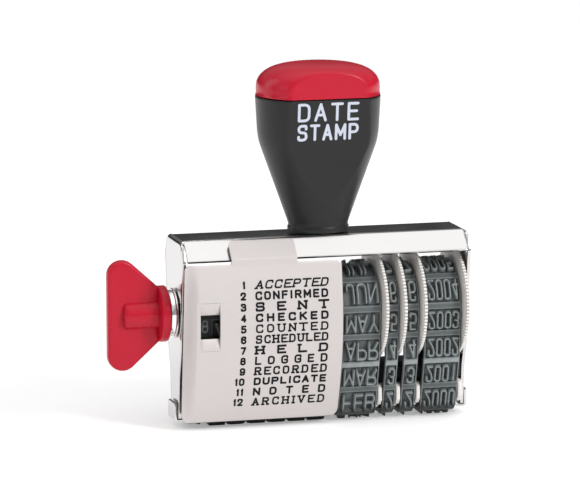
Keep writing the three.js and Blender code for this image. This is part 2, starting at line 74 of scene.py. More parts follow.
def joined(parts):
    # several (points, faces) pairs as one
    points, faces, start = [], [], 0
    for p, f in parts:
        p = np.asarray(p, float).reshape(-1, 3)
        points.append(p)
        faces += [[int(i) + start for i in face] for face in f]
        start += len(p)
    return np.concatenate(points), faces


def makePiece(name, points, faces, material, body, nodes=(), weld=0.002, sharp=32,
              sheet=0, bevel=0, bevelSteps=2, values=None):
    # mesh from points in mm; the sheet thickness and the bevel are applied, then sharp edges are marked
    mesh = bpy.data.meshes.new(name)
    corners = np.asarray(points, float).reshape(-1, 3) * mm
    mesh.from_pydata(corners.tolist(), [], [list(map(int, f)) for f in faces])
    if values is not None:
        for key, data in values.items():
            layer = mesh.attributes.new(key, "FLOAT", "POINT")
            layer.data.foreach_set("value", np.asarray(data, np.float32))
    work = bmesh.new()
    work.from_mesh(mesh)
    if weld:
        bmesh.ops.remove_doubles(work, verts=work.verts, dist=weld * mm)
    bmesh.ops.recalc_face_normals(work, faces=work.faces)
    work.to_mesh(mesh)
    work.free()
    piece = bpy.data.objects.new(name, mesh)
    bpy.context.scene.collection.objects.link(piece)
    if sheet:
        solid = piece.modifiers.new("sheet", "SOLIDIFY")
        solid.thickness = sheet * mm
        solid.offset = 0
        solid.use_even_offset = True
    if bevel:
        edge = piece.modifiers.new("edge", "BEVEL")
        edge.width = bevel * mm
        edge.segments = bevelSteps
        edge.limit_method = "ANGLE"
        edge.angle_limit = math.radians(40)
    if sheet or bevel:
        bpy.context.view_layer.update()
        done = bpy.data.meshes.new_from_object(piece.evaluated_get(bpy.context.evaluated_depsgraph_get()))
        piece.modifiers.clear()
        piece.data = done
    mesh = piece.data
    mesh.polygons.foreach_set("use_smooth", np.ones(len(mesh.polygons), bool))
    mesh.set_sharp_from_angle(angle=math.radians(sharp))
    mesh.materials.clear()
    mesh.materials.append(material)
    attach(piece, body)
    if nodes:
        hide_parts(*nodes)
    return piece


def softStep(value):
    t = np.clip(value, 0, 1)
    return t * t * (3 - 2 * t)


def arc(centreU, centreV, radius, fromDeg, toDeg, steps):
    # points of an arc, ends included: centre plus radius times (cos, sin)
    t = np.radians(np.linspace(fromDeg, toDeg, steps + 1))
    return np.stack([centreU + radius * np.cos(t), centreV + radius * np.sin(t)], axis=1)


def surface(x, y, z):
    # points of a surface, from three arrays that stretch to one grid
    return np.stack(np.broadcast_arrays(x, y, z), -1)


def roundAbout(profile, axis, sides=96, closed=False):
    # profile (place along axis, radius) turned once about the axle or the handle's axis
    profile = np.asarray(profile, float)
    t = np.linspace(0, 2 * math.pi, sides, endpoint=False)[None, :]
    a, b = profile[:, 1:] * np.cos(t), profile[:, 1:] * np.sin(t)
    points = surface(profile[:, :1], a, b + axleZ) if axis == "x" else surface(a, b, profile[:, :1])
    return points.reshape(-1, 3), gridQuads(len(profile), sides, wrapRows=closed, wrapCols=True)


def softBlock(outline, low, high, edge, steps=4):
    # convex outline (x, z) as a plate between two depths, with its edges rounded over:
    # ring k is drawn in by edge * (1 - sin) while it moves out by edge * (1 - cos)
    outline = np.asarray(outline, float)
    ahead, behind = np.roll(outline, -1, 0), np.roll(outline, 1, 0)
    run = ahead - behind
    inward = np.stack([-run[:, 1], run[:, 0]], 1) / np.linalg.norm(run, axis=1)[:, None]
    area = np.sum(outline[:, 0] * ahead[:, 1] - ahead[:, 0] * outline[:, 1])
    inward *= np.sign(area)
    t = np.radians(np.linspace(0, 90, steps + 1))
    rings = []
    for depth, turn, order in ((low, 1, t), (high, -1, t[::-1])):
        for angle in order:
            ring = outline + inward * edge * (1 - math.sin(angle))
            y = depth + turn * edge * (1 - math.cos(angle))
            rings.append(surface(ring[:, 0], y, ring[:, 1]))
    points = np.concatenate(rings)
    count = len(outline)
    faces = gridQuads(len(rings), count, wrapCols=True).tolist()
    faces.append(list(range(count)))
    faces.append(list(range(len(points) - count, len(points)))[::-1])
    return points, faces


# centre lines of a plain alphabet on a unit cell: strokes parted by ;, points by commas, each "x y"
# with an optional corner radius in letter heights
strokeAlphabet = {
    "A": "0 0,.5 1,1 0;.17 .33,.83 .33",
    "B": "0 0,0 1,.92 1 .25,.92 .53 .22,0 .53;0 .53,1 .53 .25,1 0 .25,0 0",
    "C": "1 .76,1 1 .32,0 1 .34,0 0 .34,1 0 .32,1 .24", "D": "0 0,0 1,1 1 .4,1 0 .4,0 0",
    "E": "1 0,0 0,0 1,1 1;0 .52,.86 .52", "F": "0 0,0 1,1 1;0 .52,.86 .52",
    "G": "1 .76,1 1 .32,0 1 .34,0 0 .34,1 0 .32,1 .46,.55 .46",
    "H": "0 0,0 1;1 0,1 1;0 .52,1 .52", "I": ".5 0,.5 1",
    "J": "1 1,1 0 .34,0 0 .34,0 .3", "K": "0 0,0 1;1 1,0 .42;.3 .6,1 0", "L": "0 1,0 0,1 0",
    "M": "0 0,0 1,.5 .28,1 1,1 0", "N": "0 0,0 1,1 0,1 1", "O": "0 .5,0 1 .42,1 1 .42,1 0 .42,0 0 .42,0 .5",
    "P": "0 0,0 1,1 1 .27,1 .46 .27,0 .46", "R": "0 0,0 1,1 1 .26,1 .5 .26,0 .5;.5 .5,1 0",
    "S": ".97 .78,.97 1 .28,.02 1 .28,.02 .52 .25,1 .52 .25,1 0 .28,0 0 .28,0 .22",
    "T": "0 1,1 1;.5 1,.5 0",
    "U": "0 1,0 0 .38,1 0 .38,1 1", "V": "0 1,.5 0,1 1", "Y": "0 1,.5 .45,1 1;.5 .45,.5 0",
    "0": "0 .5,0 1 .45,1 1 .45,1 0 .45,0 0 .45,0 .5", "1": ".2 .78,.6 1,.6 0",
    "2": "0 .7,0 1 .42,1 1 .42,1 .6 .3,0 0,1 0",
    "3": "0 .8,0 1 .36,.95 1 .36,.95 .54 .24,.4 .54;.4 .54,1 .54 .27,1 0 .36,0 0 .36,0 .2",
    "4": ".72 0,.72 1,0 .28,1 .28", "5": ".93 1,.1 1,.04 .55,1 .62 .36,1 0 .38,0 0 .36,0 .16",
    "6": ".95 .82,.95 1 .4,0 1 .45,0 0 .42,1 0 .4,1 .58 .36,0 .58 .36,0 .4", "7": "0 1,1 1,.35 0",
    "8": ".5 .53,.07 .53 .25,.07 1 .3,.93 1 .3,.93 .53 .25,.5 .53;"
         ".5 .53,0 .53 .27,0 0 .33,1 0 .33,1 .53 .27,.5 .53",
    "9": ".05 .18,.05 0 .4,1 0 .45,1 1 .42,0 1 .4,0 .42 .36,1 .42 .36,1 .6",
}


def strokeSegments(letter, width, height, serif=0.0):
    # straight pieces of a letter's centre lines in millimetres; a corner becomes a curve between the
    # points one radius before and after it: (1-t)^2 a + 2t(1-t) corner + t^2 b
    starts, ends = [], []
    for stroke in strokeAlphabet[letter].split(";"):
        corners = [[float(v) for v in point.split()] + [0.0] for point in stroke.split(",")]
        at = np.array([[c[0] * width, c[1] * height] for c in corners])
        line = [at[0]]
        for before, corner, after, data in zip(at[:-2], at[1:-1], at[2:], corners[1:-1]):
            into, onward = before - corner, after - corner
            r = min(data[2] * height, np.linalg.norm(into) / 2, np.linalg.norm(onward) / 2)
            if r < 1e-6:
                line.append(corner)
                continue
            a, b = corner + into / np.linalg.norm(into) * r, corner + onward / np.linalg.norm(onward) * r
            t = np.linspace(0, 1, 7)[:, None]
            line += list((1 - t) ** 2 * a + 2 * t * (1 - t) * corner + t**2 * b)
        line = np.array(line + [at[-1]])
        starts.append(line[:-1])
        ends.append(line[1:])
        for tip in (at[0], at[-1]):
            if serif and min(tip[1], height - tip[1]) < 1e-6:
                starts.append(tip[None] - [serif, 0])
                ends.append(tip[None] + [serif, 0])
    return np.concatenate(starts), np.concatenate(ends)


def strokeDistance(u, v, letter, width, height, serif=0.0):
    # distance from each point (u, v) to the nearest centre line of the letter
    a, b = strokeSegments(letter, width, height, serif)
    p = np.stack([u, v], -1)[..., None, :]
    run = b - a
    t = np.clip(((p - a) * run).sum(-1) / np.maximum((run**2).sum(-1), 1e-12), 0, 1)
    return np.sqrt((((a + t[..., None] * run) - p) ** 2).sum(-1)).min(-1)


def inkLetter(letter, width, height, pen, cell, lean=0.0, serif=0.0):
    # flat letter: grid cells whose middle lies inside the stroke are kept, and the points on their border
    # are moved along the distance's slope onto the outline
    u = np.arange(-pen - 2 * cell, width + pen + 2 * cell, cell)
    v = np.arange(-pen - 2 * cell, height + pen + 2 * cell, cell)
    uu, vv = np.meshgrid(u, v)
    gap = strokeDistance(uu, vv, letter, width, height, serif) - pen
    quads = gridQuads(len(v), len(u))
    inside = gap.ravel()[quads].mean(1) < 0
    faces = quads[inside]
    count = np.bincount(faces.ravel(), minlength=uu.size)
    border = (count > 0) & (count < 4)
    slopeV, slopeU = np.gradient(gap, cell)
    size = np.maximum(np.hypot(slopeU, slopeV), 0.5)
    move = (np.clip(gap, -cell, cell) / size**2).ravel()
    px = uu.ravel() - np.where(border, move * slopeU.ravel(), 0)
    py = vv.ravel() - np.where(border, move * slopeV.ravel(), 0)
    used = np.unique(faces)
    order = np.zeros(uu.size, int)
    order[used] = np.arange(len(used))
    return np.stack([px[used] + lean * py[used], py[used]], 1), order[faces]


# finishes


def newGroup(name, inputs, outputs):
    group = bpy.data.node_groups.new(name, "ShaderNodeTree")
    for label, kind, value in inputs:
        socket = group.interface.new_socket(label, in_out="INPUT", socket_type=kind)
        socket.default_value = value
    for label, kind in outputs:
        group.interface.new_socket(label, in_out="OUTPUT", socket_type=kind)
    return group, group.nodes.new("NodeGroupInput"), group.nodes.new("NodeGroupOutput")


def makeGrainGroup():
    # moulded or plated skin: fine noise as a bump, and a slow noise that shifts colour and roughness
    group, start, end = newGroup("skinGrain", [
        ("Fine Scale", "NodeSocketFloat", 1800.0), ("Slow Scale", "NodeSocketFloat", 60.0),
        ("Bump", "NodeSocketFloat", 0.05), ("Rough Low", "NodeSocketFloat", 0.3),
        ("Rough High", "NodeSocketFloat", 0.4), ("Dark", "NodeSocketColor", (0.1, 0.1, 0.1, 1)),
        ("Light", "NodeSocketColor", (0.2, 0.2, 0.2, 1)),
    ], [("Colour", "NodeSocketColor"), ("Roughness", "NodeSocketFloat"), ("Normal", "NodeSocketVector")])
    place = group.nodes.new("ShaderNodeTexCoord")
    fine, slow = group.nodes.new("ShaderNodeTexNoise"), group.nodes.new("ShaderNodeTexNoise")
    slow.inputs["Detail"].default_value = 3
    bump, rough, mix = (group.nodes.new("ShaderNode" + k) for k in ("Bump", "MapRange", "Mix"))
    mix.data_type = "RGBA"
    bump.inputs["Distance"].default_value = 0.0002
    link = group.links.new
    for noise, scale in ((fine, "Fine Scale"), (slow, "Slow Scale")):
        link(place.outputs["Object"], noise.inputs["Vector"])
        link(start.outputs[scale], noise.inputs["Scale"])
    link(fine.outputs["Fac"], bump.inputs["Height"])
    link(start.outputs["Bump"], bump.inputs["Strength"])
    rough.inputs["From Min"].default_value, rough.inputs["From Max"].default_value = 0.3, 0.7
    link(slow.outputs["Fac"], rough.inputs["Value"])
    link(start.outputs["Rough Low"], rough.inputs["To Min"])
    link(start.outputs["Rough High"], rough.inputs["To Max"])
    link(slow.outputs["Fac"], mix.inputs["Factor"])
    link(start.outputs["Dark"], mix.inputs["A"])
    link(start.outputs["Light"], mix.inputs["B"])
    link(mix.outputs["Result"], end.inputs["Colour"])
    link(rough.outputs["Result"], end.inputs["Roughness"])
    link(bump.outputs["Normal"], end.inputs["Normal"])
    return group


def makeTintGroup():
    # a painted mask, broken up by noise, moves the colour towards another: a painted highlight on edges,
    # painted shade in hollows
    group, start, end = newGroup("maskTint", [
        ("Mask", "NodeSocketFloat", 0.0), ("Amount", "NodeSocketFloat", 0.6),
        ("Colour", "NodeSocketColor", (0.1, 0.1, 0.1, 1)), ("Tint", "NodeSocketColor", (0.4, 0.4, 0.4, 1)),
    ], [("Colour", "NodeSocketColor")])
    place = group.nodes.new("ShaderNodeTexCoord")
    noise, spread = group.nodes.new("ShaderNodeTexNoise"), group.nodes.new("ShaderNodeMapRange")
    noise.inputs["Scale"].default_value = 900
    cover, scale, mix = (group.nodes.new("ShaderNode" + k) for k in ("Math", "Math", "Mix"))
    cover.operation = scale.operation = "MULTIPLY"
    mix.data_type = "RGBA"
    link = group.links.new
    link(place.outputs["Object"], noise.inputs["Vector"])
    spread.inputs["To Min"].default_value, spread.inputs["To Max"].default_value = 0.55, 1.0
    link(noise.outputs["Fac"], spread.inputs["Value"])
    link(start.outputs["Mask"], cover.inputs[0])
    link(spread.outputs["Result"], cover.inputs[1])
    link(cover.outputs["Value"], scale.inputs[0])
    link(start.outputs["Amount"], scale.inputs[1])
    link(scale.outputs["Value"], mix.inputs["Factor"])
    link(start.outputs["Colour"], mix.inputs["A"])
    link(start.outputs["Tint"], mix.inputs["B"])
    link(mix.outputs["Result"], end.inputs["Colour"])
    return group


grainGroup = makeGrainGroup()
tintGroup = makeTintGroup()


def makeFinish(name, dark, light, rough, fineScale=1800.0, slowScale=60.0, bump=0.05, metal=0.0,
               specular=0.5, paintedHighlight=None, highlightAmount=0.6, paintedShade=None, shadeAmount=0.8):
    # one Principled material on the grain group, with an optional painted highlight on its edges and painted
    # shade in its hollows
    look = bpy.data.materials.new(name)
    look.use_nodes = True
    nodes, link = look.node_tree.nodes, look.node_tree.links.new
    shader = nodes["Principled BSDF"]
    grain = nodes.new("ShaderNodeGroup")
    grain.node_tree = grainGroup
    settings = {"Fine Scale": fineScale, "Slow Scale": slowScale, "Bump": bump,
                "Rough Low": rough[0], "Rough High": rough[1], "Dark": (*dark, 1), "Light": (*light, 1)}
    for label, value in settings.items():
        grain.inputs[label].default_value = value
    shader.inputs["Metallic"].default_value = metal
    shader.inputs["Specular IOR Level"].default_value = specular
    link(grain.outputs["Roughness"], shader.inputs["Roughness"])
    link(grain.outputs["Normal"], shader.inputs["Normal"])
    colour = grain.outputs["Colour"]
    # the cavity mask paints shade into the colour, the edge mask paints highlights
    for mask, tint, amount in (("cavity", paintedShade, shadeAmount), ("edge", paintedHighlight, highlightAmount)):
        if tint:
            step, painted = nodes.new("ShaderNodeGroup"), nodes.new("ShaderNodeAttribute")
            step.node_tree = tintGroup
            painted.attribute_name = mask
            step.inputs["Amount"].default_value = amount
            step.inputs["Tint"].default_value = (*tint, 1)
            link(colour, step.inputs["Colour"])
            link(painted.outputs["Fac"], step.inputs["Mask"])
            colour = step.outputs["Colour"]
    link(colour, shader.inputs["Base Color"])
    return look


finishes = {
    "nickel": dict(dark=(0.66, 0.645, 0.64), light=(0.72, 0.705, 0.70), rough=(0.12, 0.2),
                   metal=1.0, fineScale=2600.0, bump=0.02),
    "cover": dict(dark=(0.605, 0.562, 0.553), light=(0.635, 0.594, 0.585), rough=(0.46, 0.54),
                  metal=0.45, fineScale=3200.0, bump=0.06, specular=0.4),
    "chrome": dict(dark=(0.86, 0.86, 0.86), light=(0.93, 0.93, 0.93), rough=(0.1, 0.16),
                   metal=1.0, bump=0.01),
    "zinc": dict(dark=(0.5, 0.5, 0.49), light=(0.62, 0.61, 0.6), rough=(0.3, 0.42),
                 metal=1.0, bump=0.06),
    "blackPlastic": dict(dark=(0.015, 0.0155, 0.015), light=(0.022, 0.023, 0.0225), rough=(0.3, 0.38),
                         fineScale=2400.0, bump=0.14, specular=0.24),
    "redPlastic": dict(dark=(0.46, 0.005, 0.022), light=(0.54, 0.009, 0.031), rough=(0.24, 0.32),
                       fineScale=2400.0, bump=0.1, specular=0.26),
    # whitePlastic: painted highlight on the wheels' tooth tops, painted shade in the gaps between them
    "whitePlastic": dict(dark=(0.74, 0.71, 0.68), light=(0.84, 0.81, 0.78), rough=(0.4, 0.5),
                         fineScale=2000.0, bump=0.08, paintedHighlight=(0.93, 0.91, 0.88), highlightAmount=0.7,
                         paintedShade=(0.16, 0.15, 0.14), shadeAmount=0.8),
    # greyRubber: painted highlight round the type and strips, painted shade at their foot and near the paper
    "greyRubber": dict(dark=(0.078, 0.090, 0.090), light=(0.118, 0.134, 0.134), rough=(0.5, 0.62),
                       fineScale=1500.0, slowScale=260.0, bump=0.25, paintedHighlight=(0.42, 0.46, 0.465),
                       highlightAmount=0.8, paintedShade=(0.006, 0.007, 0.007), shadeAmount=0.95),
    # blackRubber: painted highlight round the index digits and type, painted shade at their foot
    "blackRubber": dict(dark=(0.010, 0.010, 0.010), light=(0.018, 0.018, 0.018), rough=(0.5, 0.62),
                        fineScale=1500.0, slowScale=260.0, bump=0.2, paintedHighlight=(0.20, 0.20, 0.20),
                        highlightAmount=0.9, paintedShade=(0.004, 0.004, 0.004), shadeAmount=1.0, specular=0.3),
    "listInk": dict(dark=(0.004, 0.004, 0.005), light=(0.008, 0.008, 0.009), rough=(0.5, 0.6),
                    bump=0.05, specular=0.2),
    "handleInk": dict(dark=(0.50, 0.53, 0.63), light=(0.60, 0.63, 0.73), rough=(0.4, 0.5), bump=0.05),
}
looks = {name: makeFinish(name, **settings) for name, settings in finishes.items()}
print("finishes made:", len(looks))

# bent frame

frameSheet = {"sheet": 0.8, "topHalf": 7.2, "bend": 1.2, "foldRadius": 1.1, "flapDrop": 5.0,
              "flapReach": 4.7, "footZ": frameLow[2], "slit": 0.3, "edge": 0.12,
              "legHeights": (2.7, 13.4, 21.0), "legHalves": (3.8, 5.0, 7.4), "shoulder": 10.2}


def buildFrame(size):
    # arch: a line bent from foot to top to foot in XZ, with a half depth that follows its height
    t = size["sheet"]
    middleX, middleZ = legOuter - t / 2, topZ - t / 2
    radius = size["bend"] - t / 2
    flapZ = topZ - size["flapDrop"]
    legHeights = list(size["legHeights"]) + [flapZ, middleZ - radius * 0.4]
    legHalves = list(size["legHalves"]) + [size["shoulder"], size["topHalf"] + 0.9]
    legZ = np.unique(np.concatenate([np.linspace(size["footZ"], middleZ - radius, 30), legHeights[1:4]]))
    leg = np.stack([np.full(len(legZ), middleX), legZ], 1)
    bend = arc(middleX - radius, middleZ - radius, radius, 0, 90, 8)[1:]
    apronEnd = legOuter - t - size["slit"]
    half = np.concatenate([leg, bend])
    depth = np.interp(half[:, 1], legHeights, legHalves)
    fold = size["topHalf"] - size["foldRadius"]
    bent = half[:, 0] < middleX - 1e-6
    depth[bent] = np.interp(half[bent, 1], [middleZ - radius, middleZ], [legHalves[-1], size["topHalf"]])
    flat = np.array([[apronEnd + 0.01, middleZ], [apronEnd, middleZ], [0.0, middleZ]])
    half = np.concatenate([half[half[:, 0] > apronEnd], flat])
    depth = np.concatenate([depth[:len(half) - 3], [size["topHalf"], fold, fold]])
    line = np.concatenate([half, (half * [-1, 1])[::-1][1:]])
    depth = np.concatenate([depth, depth[::-1][1:]])
    v = np.linspace(-1, 1, 9)
    points = surface(line[:, :1], depth[:, None] * v, line[:, 1:])
    makePiece("frameArch", points, gridQuads(len(line), 9), looks["nickel"], "stamp_frame", ["frame"],
              sheet=t, bevel=size["edge"])

    # flap: a flat, a rounded fold and a straight lean, carried between the two slits
    lean = math.atan2(size["flapDrop"], size["flapReach"])
    r = size["foldRadius"] - t / 2
    foldArc = arc(fold, middleZ - r, r, 90, 90 - math.degrees(lean), 6)
    hemY = size["topHalf"] + size["flapReach"] - t / 2 * math.sin(lean)
    start = foldArc[-1]
    slope = np.array([math.cos(lean), -math.sin(lean)])
    reach = (start[1] - flapZ) / math.sin(lean)
    run = start + slope * np.linspace(0, reach, 6)[1:, None]
    section = np.concatenate([foldArc, run])
    x = np.concatenate([[-apronEnd], np.linspace(-apronEnd + 0.6, apronEnd - 0.6, 40), [apronEnd]])
    for side, name in ((-1, "frameFlapFront"), (1, "frameFlapBack")):
        y, z = side * section[:, 0], section[:, 1]
        points = surface(x, y[:, None], z[:, None])
        makePiece(name, points, gridQuads(len(section), len(x)), looks["nickel"], "stamp_frame", (),
                  sheet=t, bevel=size["edge"])
    return hemY


buildFrame(frameSheet)
print("frame made")

# front cover

coverLow, coverHigh = boxOf("front_cover")
coverSize = {"sheet": 0.6, "footReach": 7.6, "topReach": 12.3, "play": 1.44, "roll": 3.0, "topGap": 0.6,
             "lowCorner": 2.0, "highCorner": 1.2, "tabStart": -26.6, "tabWidth": 17.6, "tabCorner": 1.4,
             "tabTopMargin": 0.9, "tabGap": 0.4,
             "windowStart": -35.3, "windowWidth": 5.3, "windowBelow": 5.1, "windowHeight": 6.5,
             "lipHeight": 3.1, "lipDepth": 1.0, "edge": 0.1}
bandOuter = boxOf("month_band")[1][1]
coverFootZ = coverLow[2]
coverTopZ = topZ - frameSheet["flapDrop"] - coverSize["topGap"]


def coverReach(x, z):
    # outer face of the cover in front of the axis: a straight slope plus half a sine of belly,
    # which fades in over the rolled left side
    def slope(h):
        return np.interp(h, [coverFootZ, coverTopZ], [coverSize["footReach"], coverSize["topReach"]])

    def curve(h):
        return np.sin(math.pi * np.clip((h - coverFootZ) / (coverTopZ - coverFootZ), 0, 1))

    belly = (bandOuter + coverSize["play"] + coverSize["sheet"] - slope(axleZ)) / curve(axleZ)
    share = np.clip((x + legOuter) / coverSize["roll"], 0, 1)
    return slope(z) + belly * curve(z) * share * share * (3 - 2 * share)


def cornerDrop(x, low, high, radius):
    # how far a round corner falls below the edge near its two ends
    near = np.minimum(np.maximum(np.minimum(x - low, high - x), 0), radius)
    return radius - np.sqrt(radius**2 - (radius - near) ** 2)


def cover(size):
    t = size["sheet"]
    x0, x1 = -legOuter, coverHigh[0]
    tab0, tab1 = size["tabStart"], size["tabStart"] + size["tabWidth"]
    win0, win1 = size["windowStart"], size["windowStart"] + size["windowWidth"]
    winFoot = axleZ - size["windowBelow"]
    winTop = winFoot + size["windowHeight"]
    lipFoot, lipTop = winFoot - size["lipHeight"], winTop + size["lipHeight"]
    lowR, highR, tr = size["lowCorner"], size["highCorner"], size["tabCorner"]
    r = max(lowR, highR)
    nearEnds = np.concatenate([x0 + r * (1 - np.cos(np.linspace(0, math.pi / 2, 9))),
                               x1 - r * (1 - np.cos(np.linspace(0, math.pi / 2, 7)))])
    nearTab = np.concatenate([tab0 + tr * (1 - np.cos(np.linspace(0, math.pi / 2, 6))),
                              tab1 - tr * (1 - np.cos(np.linspace(0, math.pi / 2, 6)))])
    x = np.unique(np.round(np.concatenate([nearEnds, nearTab, np.linspace(x0, x1, 60), [win0, win1]]), 4))
    z = np.unique(np.round(np.concatenate([np.linspace(coverFootZ, coverTopZ, 56), [lipFoot, lipTop]]), 4))
    share = (z - coverFootZ) / (coverTopZ - coverFootZ)
    low, high = coverFootZ + cornerDrop(x, x0, x1, lowR), coverTopZ - cornerDrop(x, x0, x1, highR)
    zz = low[None, :] + share[:, None] * (high - low)[None, :]
    xx = np.repeat(x[None, :], len(z), 0)
    yy = -coverReach(xx, zz) + t / 2
    plate = surface(xx, yy, zz).reshape(-1, 3)
    quads = gridQuads(len(z), len(x))
    middle = plate[quads].mean(1)
    across = (middle[:, 0] > win0) & (middle[:, 0] < win1)
    upright = (middle[:, 2] > lipFoot) & (middle[:, 2] < lipTop)
    parts = [(plate, quads[~(across & upright)])]

    # tab: from the cover's upper edge round onto the slope of the flap, a small gap clear of it
    cols = x[(x >= tab0 - 1e-6) & (x <= tab1 + 1e-6)]
    flapTop = np.array([frameSheet["topHalf"], topZ])
    flapFoot = np.array([frameSheet["topHalf"] + frameSheet["flapReach"], topZ - frameSheet["flapDrop"]])
    along = (flapFoot - flapTop) / np.linalg.norm(flapFoot - flapTop)
    out = np.array([-along[1], along[0]]) * (size["tabGap"] + t / 2)
    foot, top = flapFoot + out, flapTop + along * size["tabTopMargin"] + out
    fall = cornerDrop(cols, tab0, tab1, tr)
    v = np.linspace(0, 1, 12)[:, None]
    tipShare = 1 - fall / np.linalg.norm(top - foot)
    rootY, rootZ = coverReach(cols, coverTopZ) - t / 2, coverTopZ - cornerDrop(cols, x0, x1, highR)
    footRow = foot[None, :] * np.ones((len(cols), 1))
    spanY, spanZ = (top[0] - foot[0]) * tipShare, (top[1] - foot[1]) * tipShare
    ty = np.concatenate([rootY[None, :], footRow[:, 0][None, :] + v * spanY[None, :]])
    tz = np.concatenate([rootZ[None, :], footRow[:, 1][None, :] + v * spanZ[None, :]])
    parts.append((surface(cols, -ty, tz), gridQuads(len(ty), len(cols))))

    # lips: pressed in above and below the opening
    lipX = np.linspace(win0, win1, 6)
    for outer, inner in ((lipTop, winTop), (lipFoot, winFoot)):
        s = np.linspace(0, 1, 6)[:, None]
        zr = outer + (inner - outer) * s + 0 * lipX[None, :]
        yr = -coverReach(lipX[None, :] + 0 * s, zr) + t / 2 + size["lipDepth"] * s**1.3
        parts.append((surface(lipX, yr, zr), gridQuads(6, 6)))
    points, faces = joined(parts)
    makePiece("coverPlate", points, faces, looks["cover"], "stamp_frame", ["front_cover"],
              sheet=t, bevel=size["edge"], weld=0.01)


cover(coverSize)

listSize = {"firstZ": 39.0, "pitch": 2.88, "numberEnd": -23.3, "wordStart": -20.3, "wordEnd": -1.2,
            "lift": 0.035, "numberPen": 0.26, "numberWidth": 1.0, "numberHeight": 1.6, "numberGap": 0.72,
            "cell": 0.085}
# word, letter height, share of its pitch that a letter fills, half stroke, lean, serif
phraseList = [("ACCEPTED", 1.85, 0.66, 0.23, 0.26, 0.28), ("CONFIRMED", 1.75, 0.62, 0.27, 0.0, 0.0),
              ("SENT", 1.9, 0.4, 0.29, 0.0, 0.38), ("CHECKED", 1.7, 0.54, 0.28, 0.0, 0.0),
              ("COUNTED", 1.85, 0.56, 0.23, 0.0, 0.3), ("SCHEDULED", 1.85, 0.6, 0.24, 0.0, 0.28),
              ("HELD", 1.85, 0.4, 0.29, 0.0, 0.38), ("LOGGED", 1.85, 0.44, 0.26, 0.0, 0.0),
              ("RECORDED", 1.85, 0.56, 0.25, 0.0, 0.3), ("DUPLICATE", 1.6, 0.66, 0.28, 0.0, 0.0),
              ("NOTED", 1.75, 0.38, 0.28, 0.0, 0.0), ("ARCHIVED", 1.85, 0.58, 0.24, 0.0, 0.3)]
narrowShare = {"I": 0.2, "1": 0.42, "J": 0.8, "L": 0.88, "E": 0.92, "F": 0.9, "M": 1.15}


def printList(size):
    parts = []

    def place(letter, x, z, width, height, pen, lean=0.0, serif=0.0):
        points, faces = inkLetter(letter, width, height, pen, size["cell"], lean, serif)
        px, pz = x + points[:, 0], z + points[:, 1]
        parts.append((surface(px, -coverReach(px, pz) - size["lift"], pz), faces))

    for row, (word, height, fill, pen, lean, serif) in enumerate(phraseList):
        middle = size["firstZ"] - row * size["pitch"]
        x = size["numberEnd"]
        for digit in reversed(str(row + 1)):
            width = size["numberWidth"] * narrowShare.get(digit, 1.0)
            x -= width
            place(digit, x, middle - size["numberHeight"] / 2, width, size["numberHeight"], size["numberPen"])
            x -= size["numberGap"]
        step = (size["wordEnd"] - size["wordStart"]) / len(word)
        shares = [narrowShare.get(c, 1.0) for c in word]
        gap = (size["wordEnd"] - size["wordStart"] - sum(shares) * fill * step) / (len(word) - 1)
        x = size["wordStart"]
        for letter, share in zip(word, shares):
            place(letter, x, middle - height / 2, share * fill * step, height, pen, lean, serif)
            x += share * fill * step + gap
    points, faces = joined(parts)
    makePiece("coverList", points, faces, looks["listInk"], "stamp_frame", (), weld=0)


printList(listSize)
print("cover made")

# rubber bands

# the last two entries give the height and fade of the painted shade near the paper
loopSize = {"tiles": 13, "inner": 9.5, "kneeHalf": 8.6, "kneeZ": 17.6, "bottomHalf": 5.0,
            "bottomRadius": 2.2, "depth": 2.4, "panel": 0.95, "strip": 1.35, "border": 0.3,
            "panelLength": 5.7, "typeHeight": 4.7, "typeTop": 2.4, "rubberEdge": 0.12, "draft": 0.22,
            "indexWidth": 1.4, "indexHeight": 3.0, "indexLift": 1.3, "indexPen": 0.2, "indexRise": 0.4,
            "indexPitch": 2.0, "oneDigitStart": 2.2, "twoDigitStart": 1.0, "shadeTop": 4.2, "shadeFade": 1.6}


def makeLoop(size):
    # inner surface of a loop as dense tables of distance, depth, height and facing angle,
    # from the middle of the bottom to the middle of the top: flat, bend, two straights, drum arc
    low = size["depth"]
    bend = np.array([size["bottomHalf"] - size["bottomRadius"], low + size["bottomRadius"]])
    knee = np.array([size["kneeHalf"], size["kneeZ"]])
    hub = np.array([0.0, axleZ])
    toKnee = knee - bend
    leave = math.atan2(toKnee[1], toKnee[0]) - math.acos(size["bottomRadius"] / np.linalg.norm(toKnee))
    toHub = knee - hub
    enter = math.atan2(toHub[1], toHub[0]) + math.acos(size["inner"] / np.linalg.norm(toHub))
    t = np.linspace(0, 1, 40)[:, None]
    turn = np.linspace(-math.pi / 2, leave, 40)
    wrap = np.linspace(enter, math.pi / 2, 120)
    bendPoints = bend + size["bottomRadius"] * np.stack([np.cos(turn), np.sin(turn)], 1)
    hubPoints = hub + size["inner"] * np.stack([np.cos(wrap), np.sin(wrap)], 1)
    runs = [np.array([0.0, low]) + t * (bendPoints[0] - [0.0, low]), bendPoints,
            bendPoints[-1] + t * (knee - bendPoints[-1]), knee + t * (hubPoints[0] - knee), hubPoints]

    def facing(run):
        step = run[-1] - run[0]
        return np.full(len(run), math.atan2(step[1], step[0]) - math.pi / 2)

    angles = [facing(runs[0]), turn, facing(runs[2]), facing(runs[3]), wrap]
    points, angles = np.concatenate(runs), np.concatenate(angles)
    distance = np.concatenate([[0], np.cumsum(np.linalg.norm(np.diff(points, axis=0), axis=1))])
    keep = np.concatenate([[True], np.diff(distance) > 1e-6])
    return distance[keep], points[keep], np.unwrap(angles[keep])


loopDistance, loopPoints, loopAngle = makeLoop(loopSize)
halfLoop = loopDistance[-1]
tilePitch = 2 * halfLoop / loopSize["tiles"]


